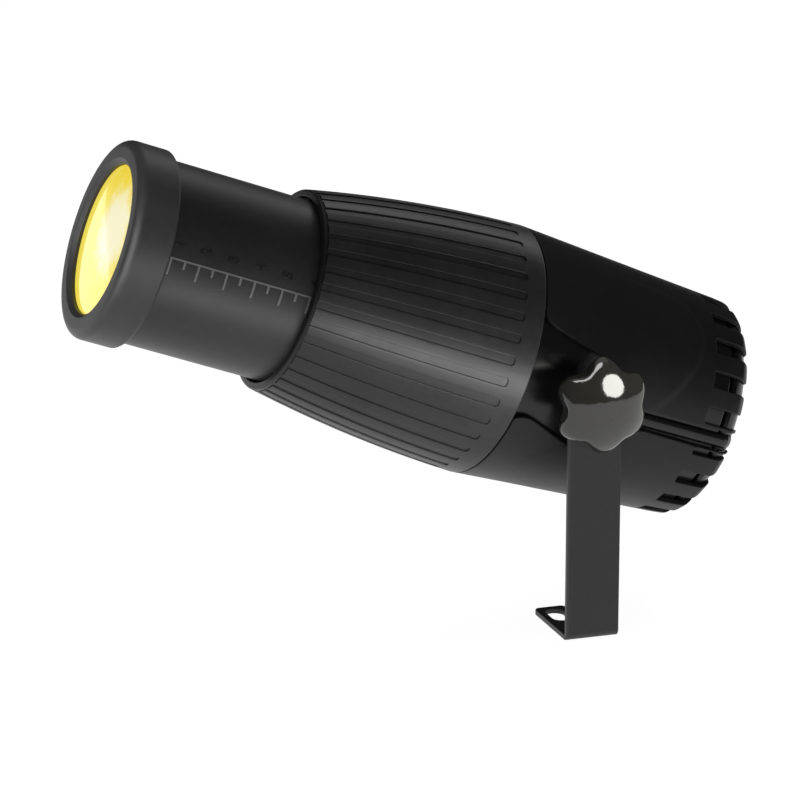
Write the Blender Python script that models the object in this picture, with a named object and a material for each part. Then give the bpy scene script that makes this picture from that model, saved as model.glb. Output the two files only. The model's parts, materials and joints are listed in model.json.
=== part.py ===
"""Small LED follow spot on a single-arm bracket, built as separate sub-parts.

World frame: metres, +Z up. The origin is the middle of the flat seat under the bracket foot,
and the tilt axis runs along Y above it.
The lamp body is drawn in its own frame: the beam leaves along -X and every station is a
distance measured forward (towards the lens) from the tilt axis. Lengths below are millimetres.
"""

import math

import bmesh
import bpy
from mathutils import Vector

MM = 0.001
GAP = 0.3

# Bracket. Its own X = Y = 0 lies under the tilt axis at the body centre line.
SEAT_X = -3.0
SEAT_Y = -47.5
PIVOT_HEIGHT = 107.0
ARM_WIDTH = 24.2
ARM_THICKNESS = 2.5
ARM_OUTER_Y = -61.4
FOOT_FAR_Y = -21.3
TONGUE_WIDTH = 14.4
FOOT_BEND_RADIUS = 3.0
SLOT_WIDTH = 9.2
SLOT_LENGTH = 17.6
SLOT_CENTRE_X = -4.8
SLOT_CENTRE_Y = -32.4
STUD_HOLE = 4.3

# Lamp body stations and radii
TILT_DEGREES = 20.0
TUBE_RADIUS = 40.0
TUBE_BORE = 37.8
TUBE_FRONT = 204.0
TUBE_REAR = 98.0
BEZEL_RADIUS = 43.3
BEZEL_REAR = 194.5
BEZEL_FRONT = 213.1
OPENING_RADIUS = 32.7
LENS_RADIUS = 37.4
LENS_EDGE_REAR = 196.0
LENS_SHOULDER = 201.5
LENS_CONE_REAR = 204.0
LENS_CONE_RADIUS = 36.0
LENS_DOME_START = 208.2
LENS_DOME_RADIUS = 32.4
LENS_DOME = 3.0
LIP_FRONT = 129.8
LIP_REAR = 128.0
LIP_RADIUS = 44.6
BARREL_REAR = 29.8
BARREL_SPAN = 99.2
GUIDE_FRONT = 124.8
GUIDE_BORE = 42.8
THROAT_BORE = 41.2
BARREL_WALL = 2.4
CHANNELS = 36
CHANNEL_DEGREES = 4.0
CHANNEL_FIRST = -4.0
CHANNEL_DEPTH = 0.8
CHANNEL_REAR = 38.8
CHANNEL_SLOPE = 0.6
SHELL_FRONT = 29.3
SHELL_REAR = -77.2
SHELL_WALL = 2.2
CORE_GAP = 0.4
CORE_WALL = 3.0
CORE_REAR = -68.0
NOTCH_FRONT = -58.2
NOTCH_PITCH = 18.5
NOTCH_DEGREES = 8.4
UPPER_NOTCHES = 10
UPPER_NOTCH_MIDDLE = -90.0
LOWER_NOTCHES = 8
LOWER_NOTCH_MIDDLE = 94.0
SLOT_NOTCH = (10.9, 14.6)
GLAND_HEIGHT = -22.0

# Tilt joint, measured along Y from the body centre line
BLOCK_FLOOR_Y = -40.0
BLOCK_FLOOR = 4.0
HUB_RADIUS = 5.9
HUB_FLANGE_RADIUS = 11.0
HUB_FLANGE_Y = -52.8
HUB_TOP_Y = -57.0
DISC_THICKNESS = 1.3
STUD_RADIUS = 4.0
WASHER_RADIUS = 11.5
WASHER_THICKNESS = 1.5
KNOB_LOBES = 6
KNOB_TIP_RADIUS = 21.4
KNOB_VALLEY_RADIUS = 16.5
KNOB_HEIGHT = 16.5

# Scale on the lens tube
SCALE_ANGLE = -9.2
SCALE_FIRST = 193.4
SCALE_PITCH = 12.7
SCALE_MARKS = 6
MARK_LENGTH = 7.6
HALF_MARK_LENGTH = 4.0
MARK_WIDTH = 1.1
MARK_HEIGHT = 0.4

STEPS = 60
FINE_STEPS = 36
SMALL_STEPS = 20

# Edges of the two shell halves on the side: (station, height above the centre line)
UPPER_EDGE = [
    (29.8, 31.5),
    (28.9, 28.8),
    (27.2, 26.6),
    (24.5, 24.9),
    (21.5, 23.7),
    (-2.0, 17.6),
    (-10.0, 14.6),
    (-17.0, 10.2),
    (-22.5, 5.0),
    (-26.0, 1.6),
    (-30.0, 0.6),
    (-90.0, 0.5),
]
LOWER_EDGE = [
    (29.8, -19.6),
    (28.6, -17.6),
    (25.7, -16.4),
    (22.3, -16.3),
    (18.2, -17.4),
    (0.0, -23.9),
    (-6.0, -24.4),
    (-12.0, -22.3),
    (-18.0, -17.5),
    (-23.0, -12.4),
    (-27.0, -9.2),
    (-31.0, -8.3),
    (-90.0, -8.2),
]
# Outline of the pivot block seen from the side: (station, height above the centre line)
BLOCK_EDGE = [
    (6.3, -21.4),
    (8.0, -14.5),
    (9.6, -5.6),
    (9.6, 5.0),
    (8.2, 11.7),
    (4.8, 18.4),
    (-6.0, 18.6),
    (-16.0, 15.0),
    (-23.0, 7.0),
    (-25.5, -3.0),
    (-23.0, -13.0),
    (-14.0, -20.5),
    (-5.0, -23.0),
]


def clear_scene():
    for thing in list(bpy.data.objects):
        bpy.data.objects.remove(thing, do_unlink=True)


def material(name, colour, roughness, metallic):
    made = bpy.data.materials.new(name)
    made.use_nodes = True
    shader = made.node_tree.nodes["Principled BSDF"]
    shader.inputs["Base Color"].default_value = (*colour, 1.0)
    shader.inputs["Roughness"].default_value = roughness
    shader.inputs["Metallic"].default_value = metallic
    made.diffuse_color = (*colour, 1.0)
    return made


clear_scene()

SATIN_BLACK = material("satin_black_plastic", (0.035, 0.035, 0.037), 0.45, 0.0)
SHELL_BLACK = material("matte_shell_black", (0.045, 0.045, 0.047), 0.6, 0.0)
CORE_BLACK = material("gloss_black_core", (0.02, 0.02, 0.022), 0.2, 0.0)
KNOB_BLACK = material("gloss_black_knob", (0.012, 0.012, 0.012), 0.12, 0.0)
BRACKET_GREY = material("powder_coated_steel", (0.05, 0.05, 0.052), 0.5, 0.3)
ALUMINIUM = material("plain_aluminium", (0.7, 0.7, 0.72), 0.35, 1.0)
STEEL = material("zinc_plated_steel", (0.55, 0.55, 0.57), 0.3, 1.0)
GLASS = material("lens_glass", (0.95, 0.93, 0.85), 0.03, 0.0)
EMITTER = material("emitter_phosphor", (0.9, 0.75, 0.2), 0.5, 0.0)
BOARD = material("circuit_board", (0.03, 0.16, 0.06), 0.5, 0.0)
FELT = material("black_felt", (0.02, 0.02, 0.02), 0.95, 0.0)
FRICTION = material("friction_fibre", (0.12, 0.1, 0.09), 0.8, 0.0)
NYLON = material("black_nylon", (0.03, 0.03, 0.03), 0.5, 0.0)
RUBBER = material("seal_rubber", (0.02, 0.02, 0.02), 0.85, 0.0)


def empty(name, location, tilt=0.0, parent=None):
    made = bpy.data.objects.new(name, None)
    made.empty_display_size = 0.02
    made.location = [value * MM for value in location]
    made.rotation_euler = (0.0, math.radians(tilt), 0.0)
    made.parent = parent
    bpy.context.scene.collection.objects.link(made)
    return made


BRACKET_FRAME = empty("bracket_frame", (-SEAT_X, -SEAT_Y, 0.0))
TILT_AXIS = empty("tilt_axis", (0.0, 0.0, PIVOT_HEIGHT), TILT_DEGREES, BRACKET_FRAME)


def finish(name, mesh, finish_material, parent=TILT_AXIS, smooth=True):
    """Makes the mesh into a named object with outward normals."""
    bmesh.ops.remove_doubles(mesh, verts=mesh.verts, dist=1e-6)
    bmesh.ops.recalc_face_normals(mesh, faces=mesh.faces)
    data = bpy.data.meshes.new(name)
    mesh.to_mesh(data)
    mesh.free()
    made = bpy.data.objects.new(name, data)
    bpy.context.scene.collection.objects.link(made)
    made.parent = parent
    data.materials.append(finish_material)
    if smooth:
        data.shade_smooth()
        data.set_sharp_from_angle(angle=math.radians(30.0))
    return made


def cutter(made):
    made.hide_render = True
    made.display_type = "WIRE"
    return made


def boolean(target, tool, operation="DIFFERENCE"):
    change = target.modifiers.new(operation.lower() + "_" + tool.name, "BOOLEAN")
    change.operation = operation
    change.solver = "EXACT"
    change.object = tool
    return target


def spun(profile, axis, steps, closed=True):
    """Turns (along, radius) points round an axis and returns the mesh. Along is in mm."""
    mesh = bmesh.new()
    side = Vector((0.0, 0.0, 1.0))
    verts = [mesh.verts.new((axis * along + side * radius) * MM) for along, radius in profile]
    edges = [mesh.edges.new(pair) for pair in zip(verts, verts[1:])]
    if closed:
        edges.append(mesh.edges.new((verts[-1], verts[0])))
    bmesh.ops.spin(
        mesh,
        geom=verts + edges,
        cent=(0.0, 0.0, 0.0),
        axis=axis,
        angle=2.0 * math.pi,
        steps=steps,
        use_merge=True,
    )
    return mesh


def lathe(name, profile, finish_material, steps=STEPS, closed=True):
    """A part turned round the beam axis. Profile points are (station forward, radius)."""
    mesh = spun(profile, Vector((-1.0, 0.0, 0.0)), steps, closed)
    return finish(name, mesh, finish_material)


def side_turned(name, profile, finish_material, steps=FINE_STEPS, closed=True):
    """A part turned round the tilt axis. Profile points are (Y, radius)."""
    mesh = spun(profile, Vector((0.0, 1.0, 0.0)), steps, closed)
    return finish(name, mesh, finish_material)


def extruded(outline, start, direction):
    """Extrudes a closed outline of 3-D points by a vector."""
    mesh = bmesh.new()
    verts = [mesh.verts.new((Vector(point) + Vector(start)) * MM) for point in outline]
    face = mesh.faces.new(verts)
    swept = bmesh.ops.extrude_face_region(mesh, geom=[face], use_keep_orig=True)
    moved = [item for item in swept["geom"] if isinstance(item, bmesh.types.BMVert)]
    bmesh.ops.translate(mesh, verts=moved, vec=Vector(direction) * MM)
    return mesh


def side_prism(name, outline, from_y, to_y, finish_material):
    """A prism across the body: outline points are (station forward, height)."""
    points = [(-station, 0.0, height) for station, height in outline]
    mesh = extruded(points, (0.0, from_y, 0.0), (0.0, to_y - from_y, 0.0))
    return finish(name, mesh, finish_material, smooth=False)


def box(name, low, high, finish_material, parent=TILT_AXIS, bevel=0.0):
    mesh = bmesh.new()
    bmesh.ops.create_cube(mesh, size=1.0)
    size = [(b - a) * MM for a, b in zip(low, high)]
    centre = [(a + b) * 0.5 * MM for a, b in zip(low, high)]
    bmesh.ops.scale(mesh, verts=mesh.verts, vec=size)
    bmesh.ops.translate(mesh, verts=mesh.verts, vec=centre)
    if bevel:
        bmesh.ops.bevel(
            mesh,
            geom=mesh.edges[:],
            offset=bevel * MM,
            segments=1,
            affect="EDGES",
            profile=0.5,
            material=-1,
        )
    return finish(name, mesh, finish_material, parent, smooth=False)


def barrel_radius(station):
    """Outer radius of the ribbed barrel, a shallow curve from the lip to the rear rim."""
    share = (station - BARREL_REAR) / BARREL_SPAN
    return 56.0 - 3.4 * share - 8.2 * share * share


def housing_radius(station):
    """Outer radius of the rear shells, a straight taper with a rounded rear rim."""
    radius = 49.5 + (55.9 - 49.5) * (station + 71.0) / (SHELL_FRONT + 71.0)
    turn = -71.0 - station
    return radius if turn <= 0.0 else radius - 5.2 * (turn / 6.2) ** 2


def make_bezel():
    outline = [
        (BEZEL_REAR, TUBE_RADIUS + GAP),
        (BEZEL_REAR, 41.2),
        (195.2, 42.4),
        (196.6, 43.1),
        (198.2, BEZEL_RADIUS),
        (208.0, BEZEL_RADIUS),
        (210.6, 42.6),
        (212.3, 41.0),
        (BEZEL_FRONT, 38.9),
        (BEZEL_FRONT, 36.0),
        (212.5, 34.0),
        (211.4, OPENING_RADIUS),
        (208.4, 33.0),
        (TUBE_FRONT + GAP, 36.4),
        (TUBE_FRONT + GAP, TUBE_RADIUS + GAP),
    ]
    lathe("lens_bezel", outline, SATIN_BLACK)


def make_lens():
    """A thick lens whose shoulder follows the bezel's cone and whose dome fills the opening."""
    outline = [(LENS_EDGE_REAR, 0.0), (LENS_EDGE_REAR, LENS_RADIUS), (LENS_SHOULDER, LENS_RADIUS)]
    outline += [(LENS_CONE_REAR, LENS_CONE_RADIUS), (LENS_DOME_START, LENS_DOME_RADIUS)]
    for step in range(1, 7):
        share = step / 6.0
        bulge = LENS_DOME * (1.0 - (1.0 - share) ** 2)
        outline.append((LENS_DOME_START + bulge, LENS_DOME_RADIUS * (1.0 - share)))
    lathe("objective_lens", outline, GLASS, FINE_STEPS, closed=False)


def make_lens_ring():
    rear = LENS_EDGE_REAR - GAP
    outline = [(rear, 34.0), (rear, 37.5), (rear - 3.5, 37.5), (rear - 3.5, 34.0)]
    lathe("lens_retaining_ring", outline, ALUMINIUM, FINE_STEPS)


def turned_box(mesh, station_a, station_b, angle_a, angle_b, low, high):
    """Adds a block lying on the tube between two stations and two angles."""
    corners = []
    for station in (station_a, station_b):
        for angle in (angle_a, angle_b):
            for radius in (low, high):
                turn = math.radians(angle)
                point = (-station, -math.cos(turn) * radius, -math.sin(turn) * radius)
                corners.append(mesh.verts.new(Vector(point) * MM))
    quads = ((0, 1, 3, 2), (4, 6, 7, 5), (0, 4, 5, 1), (2, 3, 7, 6), (0, 2, 6, 4), (1, 5, 7, 3))
    for quad in quads:
        mesh.faces.new([corners[index] for index in quad])


def make_tube():
    outline = [
        (TUBE_FRONT, TUBE_BORE),
        (TUBE_FRONT, TUBE_RADIUS),
        (TUBE_REAR, TUBE_RADIUS),
        (TUBE_REAR, TUBE_BORE),
    ]
    tube = lathe("lens_tube", outline, SATIN_BLACK)
    low = TUBE_RADIUS - 0.6
    high = TUBE_RADIUS + MARK_HEIGHT
    degree = math.degrees(1.0 / TUBE_RADIUS)
    marks = bmesh.new()
    last = SCALE_FIRST - SCALE_PITCH * (SCALE_MARKS - 1)
    half = MARK_WIDTH * 0.5
    line_end = SCALE_ANGLE + MARK_WIDTH * degree
    turned_box(marks, SCALE_FIRST + half, last - half, SCALE_ANGLE, line_end, low, high)
    line = finish("scale_line", marks, SATIN_BLACK, smooth=False)
    boolean(tube, cutter(line), "UNION")
    marks = bmesh.new()
    for mark in range(2 * SCALE_MARKS - 1):
        centre = SCALE_FIRST - mark * SCALE_PITCH * 0.5
        length = HALF_MARK_LENGTH if mark % 2 else MARK_LENGTH
        start = SCALE_ANGLE + 0.4 * degree
        end = SCALE_ANGLE + length * degree
        turned_box(marks, centre + half, centre - half, start, end, low - 0.1, high - 0.02)
    boolean(tube, cutter(finish("scale_marks", marks, SATIN_BLACK, smooth=False)), "UNION")


def make_barrel():
    """The ribbed barrel: a grid of rings, each with four points to one channel."""
    pitch = 360.0 / CHANNELS
    half = CHANNEL_DEGREES * 0.5
    wall = 0.35
    around = []
    for channel in range(CHANNELS):
        centre = CHANNEL_FIRST + channel * pitch
        around += [(centre - half, 0.0), (centre - half + wall, 1.0)]
        around += [(centre + half - wall, 1.0), (centre + half, 0.0)]
    front = LIP_REAR - GAP
    middle = [CHANNEL_REAR + CHANNEL_SLOPE + step * (front - CHANNEL_REAR) / 4.0 for step in range(4)]
    rings = [(BARREL_REAR, 0.0), (CHANNEL_REAR, 0.0)]
    rings += [(station, CHANNEL_DEPTH) for station in middle]
    rings += [(front, CHANNEL_DEPTH)]
    bore = [(front, THROAT_BORE), (GUIDE_FRONT, THROAT_BORE), (GUIDE_FRONT, GUIDE_BORE)]
    bore += [(107.0, GUIDE_BORE), (106.0, 44.4)]
    bore += [(70.0, barrel_radius(70.0) - BARREL_WALL - 0.8)]
    bore += [(BARREL_REAR, barrel_radius(BARREL_REAR) - BARREL_WALL)]
    mesh = bmesh.new()
    loops = []
    for station, depth in rings:
        radius = barrel_radius(station)
        loops.append([(station, radius - depth * share, angle) for angle, share in around])
    for station, radius in bore:
        loops.append([(station, radius, angle) for angle, share in around])
    grid = []
    for loop in loops:
        row = []
        for station, radius, angle in loop:
            turn = math.radians(angle)
            point = (-station, -math.cos(turn) * radius, -math.sin(turn) * radius)
            row.append(mesh.verts.new(Vector(point) * MM))
        grid.append(row)
    for row, following in zip(grid, grid[1:] + grid[:1]):
        for index in range(len(row)):
            after = (index + 1) % len(row)
            mesh.faces.new((row[index], row[after], following[after], following[index]))
    finish("ribbed_barrel", mesh, SATIN_BLACK)


def make_lip():
    bore = TUBE_RADIUS + MARK_HEIGHT + 0.4
    outline = [
        (LIP_REAR, bore),
        (LIP_REAR, LIP_RADIUS - 0.2),
        (LIP_FRONT - 1.0, LIP_RADIUS),
        (LIP_FRONT - 0.3, LIP_RADIUS - 0.7),
        (LIP_FRONT, LIP_RADIUS - 1.8),
        (LIP_FRONT - 0.2, 41.5),
        (LIP_FRONT - 0.8, bore),
    ]
    lathe("barrel_lip_ring", outline, SATIN_BLACK)


def make_slide_ring():
    bore = TUBE_RADIUS + MARK_HEIGHT + 0.5
    outline = [(124.4, bore), (124.4, 42.5), (108.0, 42.5), (108.0, bore)]
    lathe("felt_slide_ring", outline, FELT, FINE_STEPS)


def shell_profile():
    stations = [SHELL_FRONT, 0.0, -36.0, -71.0, -73.5, -75.5, -76.6, SHELL_REAR]
    outer = [(station, housing_radius(station)) for station in stations]
    inner = [(SHELL_REAR, 42.6), (-75.0, 44.0), (-71.0, 47.2)]
    inner += [(SHELL_FRONT, housing_radius(SHELL_FRONT) - SHELL_WALL)]
    return outer + inner


def notch_spans(count, middle):
    """The start and end angles of a row of equal notches either side of a middle angle."""
    half = NOTCH_DEGREES * 0.5
    centres = [middle + (index - (count - 1) * 0.5) * NOTCH_PITCH for index in range(count)]
    return [(centre - half, centre + half) for centre in centres]


def notch_cutter(name, spans):
    mesh = bmesh.new()
    for start, end in spans:
        turned_box(mesh, NOTCH_FRONT, SHELL_REAR - 4.0, start, end, 40.0, 60.0)
    return cutter(finish(name, mesh, SHELL_BLACK, smooth=False))


def make_shells():
    upper = lathe("upper_shell", shell_profile(), SHELL_BLACK)
    below = UPPER_EDGE + [(-90.0, -80.0), (60.0, -80.0), (60.0, 31.5)]
    boolean(upper, cutter(side_prism("below_upper", below, -70.0, 70.0, SHELL_BLACK)))
    spans = notch_spans(UPPER_NOTCHES, UPPER_NOTCH_MIDDLE)
    boolean(upper, notch_cutter("upper_notches", spans))
    lower = lathe("lower_shell", shell_profile(), SHELL_BLACK)
    above = LOWER_EDGE + [(-90.0, 80.0), (60.0, 80.0), (60.0, -19.6)]
    boolean(lower, cutter(side_prism("above_lower", above, -70.0, 70.0, SHELL_BLACK)))
    spans = notch_spans(LOWER_NOTCHES, LOWER_NOTCH_MIDDLE) + [SLOT_NOTCH]
    boolean(lower, notch_cutter("lower_notches", spans))


def core_radius(station):
    return 49.5 + 6.4 * (station + 71.0) / (SHELL_FRONT + 71.0) - SHELL_WALL - CORE_GAP


def make_core():
    outer = [(SHELL_FRONT, core_radius(SHELL_FRONT)), (CORE_REAR + 3.0, core_radius(CORE_REAR + 3.0))]
    outer += [(CORE_REAR + 1.0, core_radius(CORE_REAR) - 0.8), (CORE_REAR, core_radius(CORE_REAR) - 2.2)]
    inner = [(CORE_REAR, core_radius(CORE_REAR) - CORE_WALL - 0.6)]
    inner += [(SHELL_FRONT, core_radius(SHELL_FRONT) - CORE_WALL)]
    core = lathe("core_housing", outer + inner, CORE_BLACK)
    window = cutter(side_prism("core_window", BLOCK_EDGE, -70.0, -20.0, CORE_BLACK))
    boolean(core, window)
    plug_bore = [(30.0, 0.0), (30.0, 9.3), (60.0, 9.3), (60.0, 0.0)]
    boolean(core, cutter(side_turned("core_plug_hole", plug_bore, CORE_BLACK, SMALL_STEPS, False)))


def scaled(outline, inset):
    """Moves every outline point towards the outline's middle by a distance."""
    middle = Vector((sum(p[0] for p in outline), sum(p[1] for p in outline))) / len(outline)
    made = []
    for point in outline:
        arm = Vector(point) - middle
        made.append(tuple(middle + arm * (1.0 - inset / arm.length)))
    return made


def make_pivot_block():
    floor_inner = BLOCK_FLOOR_Y + BLOCK_FLOOR
    block = side_prism("pivot_block", scaled(BLOCK_EDGE, GAP), -60.0, floor_inner, CORE_BLACK)
    hollow = side_prism("block_hollow", scaled(BLOCK_EDGE, 3.2), -70.0, BLOCK_FLOOR_Y, CORE_BLACK)
    boolean(block, cutter(hollow))
    top = [(60.0, 0.0), (60.0, core_radius(60.0)), (-60.0, core_radius(-60.0)), (-60.0, 0.0)]
    boolean(block, cutter(lathe("block_top", top, CORE_BLACK, STEPS, False)), "INTERSECT")
    bore = [(-50.0, 0.0), (-50.0, 4.3), (-30.0, 4.3), (-30.0, 0.0)]
    boolean(block, cutter(side_turned("block_bore", bore, CORE_BLACK, SMALL_STEPS, False)))


def make_tilt_joint():
    seat = BLOCK_FLOOR_Y - GAP
    bore = STUD_RADIUS + GAP
    hub = [(seat, bore), (seat, HUB_RADIUS), (HUB_FLANGE_Y, HUB_RADIUS)]
    hub += [(HUB_FLANGE_Y, HUB_FLANGE_RADIUS), (HUB_TOP_Y, HUB_FLANGE_RADIUS), (HUB_TOP_Y, bore)]
    side_turned("pivot_hub", hub, ALUMINIUM)
    disc_inner = HUB_TOP_Y - GAP
    disc_outer = disc_inner - DISC_THICKNESS
    disc = [(disc_inner, bore), (disc_inner, HUB_FLANGE_RADIUS)]
    disc += [(disc_outer, HUB_FLANGE_RADIUS), (disc_outer, bore)]
    side_turned("friction_disc", disc, FRICTION)
    washer_inner = ARM_OUTER_Y - GAP
    washer_outer = washer_inner - WASHER_THICKNESS
    washer = [(washer_inner, bore), (washer_inner, WASHER_RADIUS)]
    washer += [(washer_outer, WASHER_RADIUS), (washer_outer, bore)]
    side_turned("clamp_washer", washer, STEEL)
    head = BLOCK_FLOOR_Y + BLOCK_FLOOR + GAP
    tip = washer_outer - 9.0
    stud = [(head + 5.0, 0.0), (head + 5.0, 7.0), (head, 7.0)]
    stud += [(head, STUD_RADIUS), (tip, STUD_RADIUS), (tip, 0.0)]
    side_turned("clamp_stud", stud, STEEL, SMALL_STEPS, closed=False)
    make_knob(washer_outer - GAP)


def knob_radius(angle, valley, tip):
    """Radius of the lobed outline at one angle, as shares of its valley and tip radii."""
    wave = 0.5 + 0.5 * math.cos(angle * KNOB_LOBES)
    low = valley * KNOB_VALLEY_RADIUS
    return low + (tip * KNOB_TIP_RADIUS - low) * wave


def make_knob(base_y):
    """The six-lobed clamp knob, drawn as rings from its seat to its domed front."""
    # Depth from the seat, then the shares of the valley and tip radii there
    sections = [(0.0, 0.95, 0.96), (1.0, 1.0, 1.0), (7.0, 1.0, 1.0), (8.8, 0.98, 0.955)]
    sections += [(10.4, 0.94, 0.86), (12.2, 0.86, 0.7), (14.0, 0.73, 0.565), (15.4, 0.57, 0.44)]
    sections += [(KNOB_HEIGHT, 0.28, 0.216)]
    around = 60
    first_lobe = math.radians(30.0)
    mesh = bmesh.new()
    rings = []
    bore = STUD_RADIUS + GAP
    for depth, radius in ((11.0, bore), (0.0, bore)):
        rings.append([(depth, radius, index) for index in range(around)])
    for depth, valley, tip in sections:
        row = []
        for index in range(around):
            angle = 2.0 * math.pi * index / around
            row.append((depth, knob_radius(angle - first_lobe, valley, tip), index))
        rings.append(row)
    grid = []
    for ring in rings:
        row = []
        for depth, radius, index in ring:
            angle = 2.0 * math.pi * index / around
            point = (math.cos(angle) * radius, base_y - depth, math.sin(angle) * radius)
            row.append(mesh.verts.new(Vector(point) * MM))
        grid.append(row)
    for row, following in zip(grid, grid[1:]):
        for index in range(around):
            after = (index + 1) % around
            mesh.faces.new((row[index], row[after], following[after], following[index]))
    mesh.faces.new(grid[0])
    mesh.faces.new(grid[-1])
    knob = finish("tilt_knob", mesh, KNOB_BLACK, TILT_AXIS)
    knob.rotation_euler = (0.0, math.radians(-TILT_DEGREES), 0.0)


def make_bracket():
    """One steel strip: an upright with a round top, bent at the bottom into the foot."""
    half = ARM_WIDTH * 0.5
    inner = ARM_OUTER_Y + ARM_THICKNESS
    bend = FOOT_BEND_RADIUS
    profile = [(ARM_OUTER_Y, PIVOT_HEIGHT + half + 2.0)]
    steps = 5
    for step in range(steps + 1):
        turn = math.pi * 0.5 * step / steps
        profile.append((ARM_OUTER_Y + bend * (1.0 - math.cos(turn)), bend * (1.0 - math.sin(turn))))
    profile += [(FOOT_FAR_Y, 0.0), (FOOT_FAR_Y, ARM_THICKNESS)]
    small = max(bend - ARM_THICKNESS, 0.5)
    for step in range(steps + 1):
        turn = math.pi * 0.5 * (1.0 - step / steps)
        across = inner + small * (1.0 - math.cos(turn))
        profile.append((across, ARM_THICKNESS + small * (1.0 - math.sin(turn))))
    profile.append((inner, PIVOT_HEIGHT + half + 2.0))
    points = [(0.0, y, z) for y, z in profile]
    mesh = extruded(points, (-half, 0.0, 0.0), (ARM_WIDTH, 0.0, 0.0))
    arm = finish("bracket_arm", mesh, BRACKET_GREY, BRACKET_FRAME)
    crown = []
    for step in range(13):
        turn = math.pi * step / 12.0
        crown.append((math.cos(turn) * half, 0.0, math.sin(turn) * half + PIVOT_HEIGHT))
    top = PIVOT_HEIGHT + 2.0 * half
    crown += [(-half - 5.0, 0.0, PIVOT_HEIGHT), (-half - 5.0, 0.0, top), (half + 5.0, 0.0, top)]
    crown += [(half + 5.0, 0.0, PIVOT_HEIGHT)]
    mesh = extruded(crown, (0.0, ARM_OUTER_Y - 5.0, 0.0), (0.0, 20.0, 0.0))
    boolean(arm, cutter(finish("crown_cut", mesh, BRACKET_GREY, BRACKET_FRAME, smooth=False)))
    tongue = -half + TONGUE_WIDTH
    far = FOOT_FAR_Y
    taper = [(half + 5.0, -56.0, 0.0), (half, -54.0, 0.0), (tongue + 2.5, far - 12.0, 0.0)]
    taper += [(tongue, far - 8.0, 0.0), (tongue, far - 3.0, 0.0), (tongue - 0.9, far - 0.9, 0.0)]
    taper += [(tongue - 3.0, far, 0.0), (tongue - 3.0, far + 6.0, 0.0), (half + 5.0, far + 6.0, 0.0)]
    mesh = extruded(taper, (0.0, 0.0, -5.0), (0.0, 0.0, 15.0))
    boolean(arm, cutter(finish("foot_taper", mesh, BRACKET_GREY, BRACKET_FRAME, smooth=False)))
    corner = [(-half - 3.0, far - 3.0, 0.0), (-half, far - 3.0, 0.0), (-half + 0.9, far - 0.9, 0.0)]
    corner += [(-half + 3.0, far, 0.0), (-half + 3.0, far + 3.0, 0.0), (-half - 3.0, far + 3.0, 0.0)]
    mesh = extruded(corner, (0.0, 0.0, -5.0), (0.0, 0.0, 15.0))
    boolean(arm, cutter(finish("foot_corner", mesh, BRACKET_GREY, BRACKET_FRAME, smooth=False)))
    slot = []
    reach = (SLOT_LENGTH - SLOT_WIDTH) * 0.5
    for step in range(24):
        turn = 2.0 * math.pi * (step + 0.5) / 24.0
        push = reach if math.sin(turn) > 0.0 else -reach
        across = math.cos(turn) * SLOT_WIDTH * 0.5
        along = math.sin(turn) * SLOT_WIDTH * 0.5
        slot.append((SLOT_CENTRE_X + across, SLOT_CENTRE_Y + along + push, 0.0))
    mesh = extruded(slot, (0.0, 0.0, -5.0), (0.0, 0.0, 15.0))
    boolean(arm, cutter(finish("foot_slot", mesh, BRACKET_GREY, BRACKET_FRAME, smooth=False)))
    hole = [(ARM_OUTER_Y - 5.0, 0.0), (ARM_OUTER_Y - 5.0, STUD_HOLE)]
    hole += [(ARM_OUTER_Y + 8.0, STUD_HOLE), (ARM_OUTER_Y + 8.0, 0.0)]
    boolean(arm, cutter(side_turned("stud_hole", hole, BRACKET_GREY, SMALL_STEPS, closed=False)))


def star(count, inner, outer, inner_share, outer_share):
    """A star outline of fins: (radius, angle) corners, four to one fin."""
    pitch = 2.0 * math.pi / count
    points = []
    for index in range(count):
        centre = index * pitch
        points.append((inner, centre - pitch * inner_share))
        points.append((outer, centre - pitch * outer_share))
        points.append((outer, centre + pitch * outer_share))
        points.append((inner, centre + pitch * inner_share))
    return points


def finned(name, points, stations, twist, finish_material):
    """Extrudes a star outline along the beam axis, turning it a little at each station."""
    mesh = bmesh.new()
    rows = []
    for index, station in enumerate(stations):
        row = []
        for radius, angle in points:
            turned = angle + twist * index
            point = (-station, math.cos(turned) * radius, math.sin(turned) * radius)
            row.append(mesh.verts.new(Vector(point) * MM))
        rows.append(row)
    for row, following in zip(rows, rows[1:]):
        for index in range(len(row)):
            after = (index + 1) % len(row)
            mesh.faces.new((row[index], row[after], following[after], following[index]))
    mesh.faces.new(rows[0])
    mesh.faces.new(rows[-1])
    return finish(name, mesh, finish_material, smooth=False)


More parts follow.
